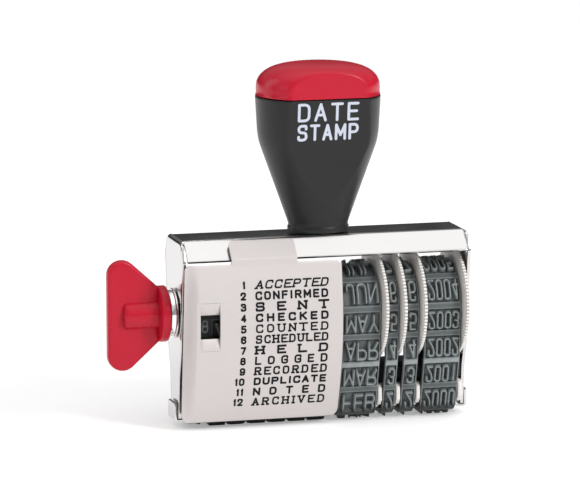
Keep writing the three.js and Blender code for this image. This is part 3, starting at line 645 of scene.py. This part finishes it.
def onLoop(s, out):
    # points at distance s round the loop (front side positive) and out from its inner surface
    s = (np.asarray(s, float) + halfLoop) % (2 * halfLoop) - halfLoop
    a = np.abs(s)
    # the facing is eased over the knee, so that type and tiles bend there and don't break
    y, z = np.interp(a, loopDistance, loopPoints[:, 0]), np.interp(a, loopDistance, loopPoints[:, 1])
    angle = sum(np.interp(np.clip(a + d, 0, halfLoop), loopDistance, loopAngle) for d in (-0.5, 0, 0.5)) / 3
    side = np.where(s < 0, 1.0, -1.0)
    return side * (y + out * np.cos(angle)), z + out * np.sin(angle)


def buildBand(name, node, texts, look, size, cell, pen, letterFill=0.8, side=0.5,
              typeStart=None, index=None):
    # closed strip round the loop. Its outer face is a height over distance s and place x: a sunk panel on
    # each tile, and type that rises from it where the distance to a letter's centre line is under the pen
    low, high = boxOf(node)
    x0, x1, e = low[0], high[0], size["rubberEdge"]
    start = x0 if typeStart is None else typeStart
    half = size["panelLength"] / 2
    rows = int(round((2 * half + 0.3) / cell))
    local = np.concatenate([np.linspace(-half - 0.15, half + 0.15, rows),
                            np.linspace(half + 0.15, tilePitch - half - 0.15, 5)[1:-1]])
    xs = np.concatenate([[x0], np.linspace(x0 + e, x1 - e, int(round((x1 - x0 - 2 * e) / cell))), [x1]])
    xx, ll = np.meshgrid(xs, local)
    inset = np.minimum(xx - start, x1 - xx) - size["border"]
    inset = np.minimum(inset, half - np.abs(ll))
    ring, edge, cavity = [], [], []
    for k, text in enumerate(texts):
        gap = np.full(xx.shape, 9.0)
        letters = []
        if text:
            room = x1 - start - 2 * side
            pitch = room / len(text)
            for i, letter in enumerate(text):
                share = narrowShare.get(letter, 1.0) if len(text) > 1 else 1.0
                wide = max(pitch * letterFill * min(share, 1.08) - 2 * pen, 0.05)
                letters.append((letter, start + side + (i + 0.5) * pitch - wide / 2, wide,
                                size["typeHeight"] - 2 * pen, pen, 1, size["typeTop"]))
        if index and index[k]:
            first = x0 + size["oneDigitStart" if len(index[k]) == 1 else "twoDigitStart"]
            for i, letter in enumerate(index[k]):
                wide = size["indexWidth"] * narrowShare.get(letter, 1.0)
                letters.append((letter, first + size["indexPitch"] * i, wide, size["indexHeight"],
                                size["indexPen"], -1, size["strip"] + size["indexRise"]))
        top = np.full(xx.shape, size["panel"])
        for letter, x, wide, tall, nib, way, height in letters:
            shift = size["indexLift"] if way < 0 else 0.0
            d = strokeDistance(xx - x, tall / 2 - way * (ll - shift), letter, wide, tall) - nib
            better = d < gap
            top = np.where(better, height, top)
            gap = np.minimum(gap, d)
        rise = softStep(0.5 - gap / size["draft"])
        sunk = softStep(inset / size["draft"])
        floor = size["strip"] - (size["strip"] - size["panel"]) * sunk
        out = floor + (top - floor) * rise
        out[:, [0, -1]] -= e
        s = k * tilePitch + ll
        y, z = onLoop(s, out)
        yi, zi = onLoop(s[:, :2], np.zeros((len(local), 2)))
        ring.append(np.concatenate([surface(xx, y, z), surface([x1, x0], yi, zi)], 1))
        # painted highlight round each letter's edge and along the strips, painted shade at the foot of both;
        # the band's side edges get a painted highlight too
        light = np.exp(-(((gap + size["draft"] * 0.55) / 0.13) ** 2))
        light = light + 0.55 * np.exp(-(((inset + 0.1) / 0.12) ** 2))
        light[:, [0, 1, -2, -1]] = np.maximum(light[:, [0, 1, -2, -1]], 0.5)
        # painted highlight on the strip at the knee, where the band bends and catches the light
        kneeStrip = (np.abs(ll - tilePitch / 2) < 0.9) & (k == 2)
        light = np.where(kneeStrip, 1.0, light)
        dark = np.where(gap > 0, np.exp(-np.maximum(gap, 0) / 0.35), 0)
        dark = dark + np.exp(-(((inset - 0.14) / 0.14) ** 2))
        # near the paper the type is painted dark as shade under the stamp, which also hides the painted
        # highlights there
        lowShade = softStep((size["shadeTop"] - z) / size["shadeFade"])
        light, dark = light * (1 - lowShade), np.maximum(dark * (1 - rise), lowShade)
        edge.append(np.concatenate([np.clip(light, 0, 1), np.zeros((len(local), 2))], 1))
        # the inner face of the loop is painted fully dark as shade
        cavity.append(np.concatenate([np.clip(dark, 0, 1), np.ones((len(local), 2))], 1))
    points = np.concatenate(ring)
    faces = gridQuads(points.shape[0], points.shape[1], True, True)
    makePiece(name, points, faces, look, "stamp_frame", [node], weld=0, sharp=60,
              values={"edge": np.concatenate(edge).ravel(), "cavity": np.concatenate(cavity).ravel()})


months = ["JAN", "FEB", "MAR", "APR", "MAY", "JUN", "JUL", "AUG", "SEP", "OCT", "NOV", "DEC", ""]
tiles = loopSize["tiles"]
digits = [str((k + 1) % 10) if k < 10 else "" for k in range(tiles)]
years = [str(1999 + k) if k < 12 else "" for k in range(tiles)]
words = [entry[0] for entry in phraseList] + [""]
firstPhrase, windowTile = 7, 4
phrases = [words[(firstPhrase + k) % tiles] for k in range(tiles)]
rows = [(firstPhrase + k - windowTile) % tiles for k in range(tiles)]
numbers = [str(row + 1) if row < len(phraseList) else "" for row in rows]
for name, node, texts, pen, fill, side in (("monthBand", "month_band", months, 0.27, 0.9, 0.55),
                                           ("dayTensBand", "day_tens_band", digits, 0.26, 0.8, 0.5),
                                           ("dayOnesBand", "day_ones_band", digits, 0.26, 0.8, 0.6),
                                           ("yearBand", "year_band", years, 0.24, 0.84, 0.5)):
    buildBand(name, node, texts, looks["greyRubber"], loopSize, 0.135, pen, fill, side)
buildBand("phraseBand", "phrase_band", phrases, looks["blackRubber"], loopSize, 0.2, 0.42,
          0.96, 0.7, typeStart=boxOf("phrase_band")[0][0] + 4.8, index=numbers)
print("bands made: pitch", round(tilePitch, 3))

# wheels, axle and dial

wheelSize = {"rim": 1.0, "edge": 0.16, "teeth": 96, "toothDepth": 0.42, "samples": 6, "drum": 9.2,
             "bore": 2.2, "hub": 4.6, "dish": 0.9, "lip": 1.0}


def buildWheel(name, node, body, size):
    # drum and dished disc turned about the axle, and a rim whose radius dips between its teeth
    low, high = boxOf(node)
    x0, x1 = low[0], high[0]
    rimStart = x1 - size["rim"]
    e, dish = size["edge"], size["dish"] * size["rim"] / 2
    profile = [(x0, size["bore"]), (x0, size["drum"] - 0.3), (x0 + 0.3, size["drum"]),
               (rimStart, size["drum"]),
               (rimStart, rimRadius - size["lip"] - 0.9), (rimStart + 0.02, rimRadius - e - 0.5),
               (rimStart + e, rimRadius), (x1 - e, rimRadius), (x1, rimRadius - e - 0.1),
               (x1, rimRadius - size["lip"]), (x1 - dish, rimRadius - size["lip"] - 0.25),
               (x1 - dish, size["hub"] + 0.25), (x1, size["hub"]), (x1, size["bore"])]
    profile = np.array(profile)
    count = size["teeth"] * size["samples"]
    t = np.linspace(0, 2 * math.pi, count, endpoint=False)
    tooth = (0.5 - 0.5 * np.cos(size["teeth"] * t)) ** 1.4
    share = np.interp(profile[:, 1], [rimRadius - 0.75, rimRadius - 0.1], [0, 1])
    share[(profile[:, 0] < rimStart - 0.01)] = 0
    radius = profile[:, 1:] - share[:, None] * size["toothDepth"] * tooth[None, :]
    points = surface(profile[:, :1], radius * np.cos(t), axleZ + radius * np.sin(t))
    # painted highlight on the tooth tops, painted shade in the gaps between teeth
    masks = {"edge": (share[:, None] * (1 - tooth[None, :])).ravel(),
             "cavity": (share[:, None] * tooth[None, :]).ravel()}
    makePiece(name, points, gridQuads(len(profile), count, True, True), looks["whitePlastic"], body, [node],
              weld=0, sharp=50, values=masks)


for piece, dial in (("monthWheel", "month"), ("dayTensWheel", "day_tens"), ("dayOnesWheel", "day_ones"),
                    ("yearWheel", "year")):
    buildWheel(piece, dial + "_wheel", dial + "_dial", wheelSize)

turnedSize = {"axleRadius": 1.9, "headRadius": 3.2, "headThickness": 0.9, "drum": 9.2, "shaft": 2.2,
              "web": 1.6, "bore": 2.2, "collar": 6.6, "spacer": 4.2}


def buildTurned(size):
    # axle with a domed rivet head
    low, high = boxOf("wheel_axle")
    headStart = high[0] - size["headThickness"]
    r = size["axleRadius"]
    dome = [(headStart + size["headThickness"] * math.sin(a), size["headRadius"] * math.cos(a) ** 0.6)
            for a in np.radians([12, 30, 48, 64, 78])]
    profile = [(low[0], 0), (low[0], r - 0.3), (low[0] + 0.3, r), (headStart, r),
               (headStart, size["headRadius"])]
    points, faces = roundAbout(profile + dome + [(high[0], 0)], "x", 48)
    makePiece("axle", points, faces, looks["zinc"], "stamp_frame", ["wheel_axle"])
    # phrase drum with its shaft
    low, high = boxOf("phrase_drum")
    start = boxOf("phrase_band")[0][0] - 1.1
    web = start + size["web"]
    profile = [(low[0], 0), (low[0], size["shaft"] - 0.3), (low[0] + 0.3, size["shaft"]),
               (start, size["shaft"]), (start, size["drum"] - 0.3), (start + 0.3, size["drum"]),
               (high[0] - 0.3, size["drum"]), (high[0], size["drum"] - 0.3), (high[0], size["bore"]),
               (web, size["bore"]), (web, 0)]
    points, faces = roundAbout(profile, "x", 72)
    makePiece("phraseDrum", points, faces, looks["blackPlastic"], "phrase_dial", ["phrase_drum"])
    # spacer washer
    low, high = boxOf("dial_spacer")
    ring = [(low[0], size["bore"]), (low[0], size["spacer"] - 0.1), (low[0] + 0.1, size["spacer"]),
            (high[0] - 0.1, size["spacer"]), (high[0], size["spacer"] - 0.1), (high[0], size["bore"])]
    points, faces = roundAbout(ring, "x", 48, closed=True)
    makePiece("dialSpacer", points, faces, looks["zinc"], "stamp_frame", ["dial_spacer"])
    # chrome collar: a waist between two rounded lands
    low, high = boxOf("knob_collar")
    x0, x1, c = low[0], high[0], size["collar"]
    ring = [(x0, 2.5), (x0, c - 0.65), (x0 + 0.12, c - 0.5), (x1 - 0.72, c - 0.5), (x1 - 0.62, c - 0.44),
            (x1 - 0.58, c - 0.12), (x1 - 0.48, c), (x1 - 0.12, c), (x1, c - 0.12), (x1, 2.5)]
    points, faces = roundAbout(ring, "x", 96, closed=True)
    makePiece("knobCollar", points, faces, looks["chrome"], "stamp_frame", ["knob_collar"])


buildTurned(turnedSize)

knobSize = {"flangeRadius": 7.4, "flange": 2.3, "wingHalf": 14.6, "rootHalf": 7.1, "corner": 4.0,
            "noseRadius": 1.1, "thickness": 3.2, "edge": 0.9, "bossRadius": 3.85, "bossLength": 9.4,
            "boreRadius": 2.5, "web": 0.6}


def buildKnob(size):
    low, high = boxOf("phrase_knob")
    x0, x1 = low[0], high[0]
    flangeStart = x1 - size["flange"]
    # wing: round outer corners and a straight slant that runs tangent from them to the flange
    centre = np.array([x0 + size["corner"], size["wingHalf"] - size["corner"]])
    root = np.array([flangeStart + 0.4, size["rootHalf"]])
    away = root - centre
    tangent = math.atan2(away[1], away[0]) + math.acos(size["corner"] / np.linalg.norm(away))
    upper = arc(centre[0], centre[1], size["corner"], math.degrees(tangent), 180, 14)
    slant = root + (upper[0] - root) * np.linspace(0, 1, 8)[:-1, None]
    half = np.concatenate([slant, upper])
    outline = np.concatenate([half, (half * [1, -1])[::-1]]) + [0, axleZ]
    wing = softBlock(outline, -size["thickness"] / 2, size["thickness"] / 2, size["edge"], 5)
    # boss and flange, turned, with the blind bore for the shaft
    b = size["bossRadius"]
    bossStart = flangeStart - size["bossLength"]
    n = size["noseRadius"]
    nose = [(bossStart + n * (1 - math.cos(a)), b - n + n * math.sin(a))
            for a in np.radians([0, 20, 40, 60, 80])]
    foot = [(bossStart + n, b), (flangeStart + 0.5, b), (flangeStart + 0.5, 0)]
    boss = roundAbout([(bossStart, 0)] + nose + foot, "x", 64)
    f = size["flangeRadius"]
    rim = [tuple(p) for p in arc(flangeStart + 0.7, f - 0.7, 0.7, 180, 90, 5)]
    back = [tuple(p) for p in arc(x1 - 0.3, f - 0.3, 0.3, 90, 0, 3)]
    web = flangeStart + size["web"]
    bore = [(x1, size["boreRadius"]), (web, size["boreRadius"]), (web, 0)]
    flange = roundAbout([(flangeStart, 0)] + rim + back + bore, "x", 96)
    points, faces = joined([wing, boss, flange])
    makePiece("dialKnob", points, faces, looks["redPlastic"], "phrase_dial", ["phrase_knob"],
              sharp=40)


buildKnob(knobSize)
print("wheels, axle and knob made")

# bridge

bridgeSize = {"sheet": 0.7, "half": 3.5, "edge": 0.12}


def buildBridge(size):
    low, high = boxOf("bridge_strap")
    t = size["sheet"]
    outX, dipZ = high[0] - t / 2, low[2] + t / 2
    innerZ = loopSize["depth"] + 0.5 + t / 2
    dipX = max(boxOf("year_band")[1][0], -boxOf("phrase_band")[0][0]) + 0.3
    corner = arc(outX - 0.6, dipZ + 0.6, 0.6, -90, 0, 5)
    dip = [[0, innerZ], [dipX - 0.3, innerZ], [dipX + 0.2, innerZ - 0.15], [dipX + 0.9, dipZ + 0.1],
           [dipX + 1.3, dipZ]]
    half = np.concatenate([dip, corner, [[outX, high[2] - 1.0], [outX, high[2]]]])
    line = np.concatenate([(half * [-1, 1])[::-1][:-1], half])
    y = np.linspace(-size["half"], size["half"], 7)
    points = surface(line[:, :1], y, line[:, 1:])
    makePiece("bridgeStrap", points, gridQuads(len(line), 7), looks["nickel"], "stamp_frame",
              ["bridge_strap"], sheet=t, bevel=size["edge"])


buildBridge(bridgeSize)

ribSize = {"coreHalf": 4.7, "coreTop": 9.2, "coreEdge": 0.2, "ribHalf": 7.2, "ribFoot": 5.8, "corner": 1.7,
           "edge": 0.3, "play": 0.3}


def buildRibs(size):
    # a core along the stamp and a rounded rib in each gap between the bands
    low, high = boxOf("type_bridge")

    def block(x0, x1, half, foot, top, edge):
        rightTop = arc(half - size["corner"], top - size["corner"], size["corner"], 0, 90, 6)
        right = np.concatenate([[[foot, low[2]], [half, low[2] + 1.4]], rightTop])
        outline = np.concatenate([right, (right * [-1, 1])[::-1]])
        points, faces = softBlock(outline, x0, x1, edge, 3)
        return points[:, [1, 0, 2]], faces

    parts = [block(low[0], high[0], size["coreHalf"], size["coreHalf"] - 1.2, size["coreTop"],
                   size["coreEdge"])]
    bands = [boxOf(n) for n in ("phrase_band", "month_band", "day_tens_band", "day_ones_band", "year_band")]
    ends = [(a[1][0], b[0][0]) for a, b in zip(bands[:-1], bands[1:])]
    ends.append((bands[-1][1][0], high[0] + size["play"]))
    for x0, x1 in ends:
        wide = x1 - x0 - 2 * size["play"]
        parts.append(block(x0 + size["play"], x1 - size["play"], size["ribHalf"], size["ribFoot"], high[2],
                           min(size["edge"], wide / 2.2)))
    points, faces = joined(parts)
    makePiece("typeBridge", points, faces, looks["whitePlastic"], "stamp_frame", ["type_bridge"])


buildRibs(ribSize)
print("bridge made")

# handle

handleLow, handleHigh = boxOf("handle")
capTop = boxOf("handle_cap")[1][2]
handleSize = {"footHalf": 8.2, "footDepth": 6.5, "footRise": 1.7, "topDepth": 15.5, "flat": 11.8,
              "flatLean": 0.117, "crease": 0.22, "capCrease": 0.572, "capGap": 0.3, "turn": 25.2,
              "waist": (8.0, 2.4), "bendStart": (15.05, 22.3), "shoulder": (16.0, 25.4), "topHalf": 16.55,
              "capPower": 3.0, "sides": 192}


def softMin(a, b, width):
    # smaller of two values, with a round blend of the given width between them
    h = np.clip(0.5 + 0.5 * (b - a) / width, 0, 1)
    return b + (a - b) * h - width * h * (1 - h)


def ovalSkin(rise, half, depthShare, flat, crease, sides, base):
    # half width by height, pressed to an oval, with flats in front and behind and softened creases
    t = np.linspace(0, 2 * math.pi, sides, endpoint=False)
    x = half[:, None] * np.cos(t)
    y = (half * depthShare)[:, None] * np.sin(t)
    y = np.sign(y) * softMin(np.abs(y), flat[:, None] + 0 * x, crease)
    y[np.abs(y) < 1e-9] = 0
    return surface(x, y, (base + rise)[:, None])


def capped(skin):
    # grid skin closed at both ends by a fan to the middle
    rows, sides = skin.shape[:2]
    points = np.concatenate([skin.reshape(-1, 3), skin[0].mean(0)[None], skin[-1].mean(0)[None]])
    faces = gridQuads(rows, sides, wrapCols=True).tolist()
    low, high = rows * sides, rows * sides + 1
    for k in range(sides):
        faces.append([(k + 1) % sides, k, low])
        faces.append([(rows - 1) * sides + k, (rows - 1) * sides + (k + 1) % sides, high])
    return points, faces


def buildHandle(size):
    base, height = handleLow[2], handleHigh[2] - handleLow[2]
    shareFoot, shareTop = size["footDepth"] / size["footHalf"], size["topDepth"] / size["topHalf"]
    foot = np.array([0, 0.15, 0.45, size["footRise"] - 0.25, size["footRise"]])
    footHalf = size["footHalf"] - np.array([0.35, 0.1, 0, 0, 0.2])
    # straight flare, a quadratic bend round the shoulder, then nearly upright
    shoulderHalf, shoulderRise = size["shoulder"]
    flare = np.linspace(size["waist"][::-1], size["bendStart"][::-1], 60)
    corner = np.array([shoulderRise - 0.75, shoulderHalf - 0.05])
    t = np.linspace(0, 1, 16)[1:, None]
    end = np.array([shoulderRise + 2.6, shoulderHalf + 0.12])
    bend = (1 - t) ** 2 * flare[-1] + 2 * t * (1 - t) * corner + t**2 * end
    upper = np.linspace(end, [height - 0.2, size["topHalf"]], 16)[1:]
    line = np.concatenate([np.stack([foot, footHalf], 1), flare, bend, upper,
                           [[height - 0.06, size["topHalf"] - 0.06], [height, size["topHalf"] - 0.22]]])
    rise, half = line[:, 0], line[:, 1]
    share = shareFoot + (shareTop - shareFoot) * softStep(rise / size["turn"])
    flat = size["flat"] - size["flatLean"] * (height - rise)
    skin = ovalSkin(rise, half, share, flat, size["crease"], size["sides"], base)
    points, faces = capped(skin)
    makePiece("handleBody", points, faces, looks["blackPlastic"], "stamp_frame", ["handle"],
              sharp=50)

    # cap: between a circle and a rectangle from the side, (half/wide)^power + (rise/top)^power = 1
    capBase = base + height + size["capGap"]
    top, wide = capTop - capBase, size["topHalf"]
    turn = np.radians(np.concatenate([[4, 9], np.linspace(14, 84, 36), [87, 89]]))
    rise = np.concatenate([[0, 0.06, 0.2], top * np.sin(turn) ** (2 / size["capPower"])])
    half = np.concatenate([[wide - 0.22, wide - 0.06, wide], wide * np.cos(turn) ** (2 / size["capPower"])])
    order = np.argsort(rise)
    rise, half = rise[order], np.minimum.accumulate(half[order])
    half[:2] = wide - 0.22, wide - 0.06
    skin = ovalSkin(rise, half, np.full(len(rise), shareTop), np.full(len(rise), size["flat"]),
                    size["capCrease"], size["sides"], capBase)
    points, faces = capped(skin)
    makePiece("handleCap", points, faces, looks["redPlastic"], "stamp_frame", ["handle_cap"],
              sharp=50)


buildHandle(handleSize)

markSize = {"upper": ("DATE", 81.2, 4.2), "lower": ("STAMP", 76.1, 3.7), "middleX": -0.2, "width": 15.8,
            "fill": 0.66, "pen": 0.36, "cell": 0.14, "lift": 0.04}


def printMark(size):
    # two plain words on the front flat, each spread to one width
    parts = []
    for word, z, capital in (size["upper"], size["lower"]):
        shares = [narrowShare.get(c, 1.0) for c in word]
        wide = size["width"] * size["fill"] / sum(shares)
        gap = (size["width"] - wide * sum(shares)) / (len(word) - 1)
        x = size["middleX"] - size["width"] / 2
        for letter, share in zip(word, shares):
            points, faces = inkLetter(letter, wide * share, capital, size["pen"], size["cell"])
            px, pz = x + points[:, 0], z + points[:, 1]
            reach = handleSize["flat"] - handleSize["flatLean"] * (handleHigh[2] - pz)
            parts.append((surface(px, -reach - size["lift"], pz), faces))
            x += wide * share + gap
    points, faces = joined(parts)
    makePiece("handleWords", points, faces, looks["handleInk"], "stamp_frame", (), weld=0)


printMark(markSize)
print("handle made")

for node, look in (("band_former", "blackPlastic"), ("handle_screw", "zinc"), ("lock_washer", "zinc")):
    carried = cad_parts[node]
    carried.data.materials.clear()
    carried.data.materials.append(looks[look])

# floor, light and camera


def stagePlane(name, points, material):
    mesh = bpy.data.meshes.new(name)
    mesh.from_pydata(points, [], [(0, 1, 2, 3)])
    plane = bpy.data.objects.new(name, mesh)
    bpy.context.scene.collection.objects.link(plane)
    mesh.materials.append(material)
    return plane


def plainMaterial(name, colour, rough, glow=0.0):
    look = bpy.data.materials.new(name)
    look.use_nodes = True
    shader = look.node_tree.nodes["Principled BSDF"]
    shader.inputs["Base Color"].default_value = (*colour, 1)
    shader.inputs["Roughness"].default_value = rough
    shader.inputs["Emission Color"].default_value = (1, 1, 1, 1)
    shader.inputs["Emission Strength"].default_value = glow
    return look


floorSize = {"half": 6.0, "colour": (0.8, 0.8, 0.8), "glow": 0.34}
half = floorSize["half"]
stagePlane("floor", [(-half, -half, 0), (half, -half, 0), (half, half, 0), (-half, half, 0)],
           plainMaterial("floorPaper", floorSize["colour"], 0.9, floorSize["glow"]))

lightSpecs = {
    "sky": dict(kind="SUN", at=(0.45, -0.45, 1.0), power=0.5, spread=1.6),
    "keyRight": dict(kind="AREA", at=(0.85, -1.1, 0.85), size=(0.35, 0.35), power=12.0),
    "fillLeft": dict(kind="AREA", at=(-1.1, -0.25, 0.45), size=(0.5, 0.5), power=1.1),
    "rimLeft": dict(kind="AREA", at=(-0.9, 0.5, 0.5), size=(0.4, 0.9), power=2.0),
}
for name, spec in lightSpecs.items():
    lamp = bpy.data.lights.new(name, spec["kind"])
    lamp.energy = spec["power"]
    if spec["kind"] == "SUN":
        lamp.angle = spec["spread"]
    else:
        lamp.shape = "RECTANGLE"
        lamp.size, lamp.size_y = spec["size"]
    holder = bpy.data.objects.new(name, lamp)
    bpy.context.scene.collection.objects.link(holder)
    holder.location = spec["at"]
    holder.rotation_euler = (Vector((0, 0, 0.045)) - Vector(spec["at"])).to_track_quat("-Z", "Y").to_euler()

roomSize = {"bright": 0.33, "dim": 0.04, "upper": (0.16, 0.42), "ahead": (0.25, -0.6), "overhead": 0.72,
            "overheadFrom": (0.68, 0.86)}


def makeRoom(size):
    # studio surround: bright overhead and in front, dim low down behind the object
    room = bpy.data.worlds.new("studio")
    bpy.context.scene.world = room
    room.use_nodes = True
    nodes, link = room.node_tree.nodes, room.node_tree.links.new
    shine = nodes["Background"]
    shine.inputs["Color"].default_value = (1, 1, 1, 1)
    place, parts = nodes.new("ShaderNodeTexCoord"), nodes.new("ShaderNodeSeparateXYZ")
    link(place.outputs["Generated"], parts.inputs["Vector"])

    def ramp(source, reach, levels, curve):
        # a value carried from one range into another
        node = nodes.new("ShaderNodeMapRange")
        node.interpolation_type = curve
        node.inputs["From Min"].default_value, node.inputs["From Max"].default_value = reach
        node.inputs["To Min"].default_value, node.inputs["To Max"].default_value = levels
        link(source, node.inputs["Value"])
        return node.outputs["Result"]

    def both(operation, first, second):
        node = nodes.new("ShaderNodeMath")
        node.operation = operation
        link(first, node.inputs[0])
        link(second, node.inputs[1])
        return node.outputs["Value"]

    high, front = parts.outputs["Z"], parts.outputs["Y"]
    lit = both("MAXIMUM", ramp(high, size["upper"], (0, 1), "SMOOTHSTEP"),
               ramp(front, size["ahead"], (0, 1), "SMOOTHSTEP"))
    above = ramp(high, size["overheadFrom"], (0, size["overhead"]), "SMOOTHSTEP")
    wall = ramp(lit, (0, 1), (size["dim"], size["bright"]), "LINEAR")
    link(both("ADD", wall, above), shine.inputs["Strength"])


makeRoom(roomSize)
bpy.context.scene.view_settings.view_transform = "Standard"

cameraSize = {"turn": 14.917, "rise": 9.493, "roll": -0.135, "distance": 1.17385, "lens": 274.69,
              "aimX": -0.007471, "aimZ": 0.044517}


def placeCamera(size):
    # camera left of the front and a little above it, aimed past the middle of the stamp
    a, e, r = (math.radians(size[k]) for k in ("turn", "rise", "roll"))
    back = Vector((-math.sin(a) * math.cos(e), -math.cos(a) * math.cos(e), math.sin(e)))
    side = Vector((math.cos(a), -math.sin(a), 0))
    up = Vector((math.sin(e) * math.sin(a), math.sin(e) * math.cos(a), math.cos(e)))
    right = math.cos(r) * side + math.sin(r) * up
    over = -math.sin(r) * side + math.cos(r) * up
    data = bpy.data.cameras.new("camera")
    data.lens, data.sensor_width, data.clip_start, data.clip_end = size["lens"], 36, 0.01, 50
    holder = bpy.data.objects.new("camera", data)
    bpy.context.scene.collection.objects.link(holder)
    place = right * size["aimX"] + over * size["aimZ"] + back * size["distance"]
    turn = Matrix((right, over, back)).transposed().to_4x4()
    holder.matrix_world = Matrix.Translation(place) @ turn
    bpy.context.scene.camera = holder


placeCamera(cameraSize)
print("stage made")
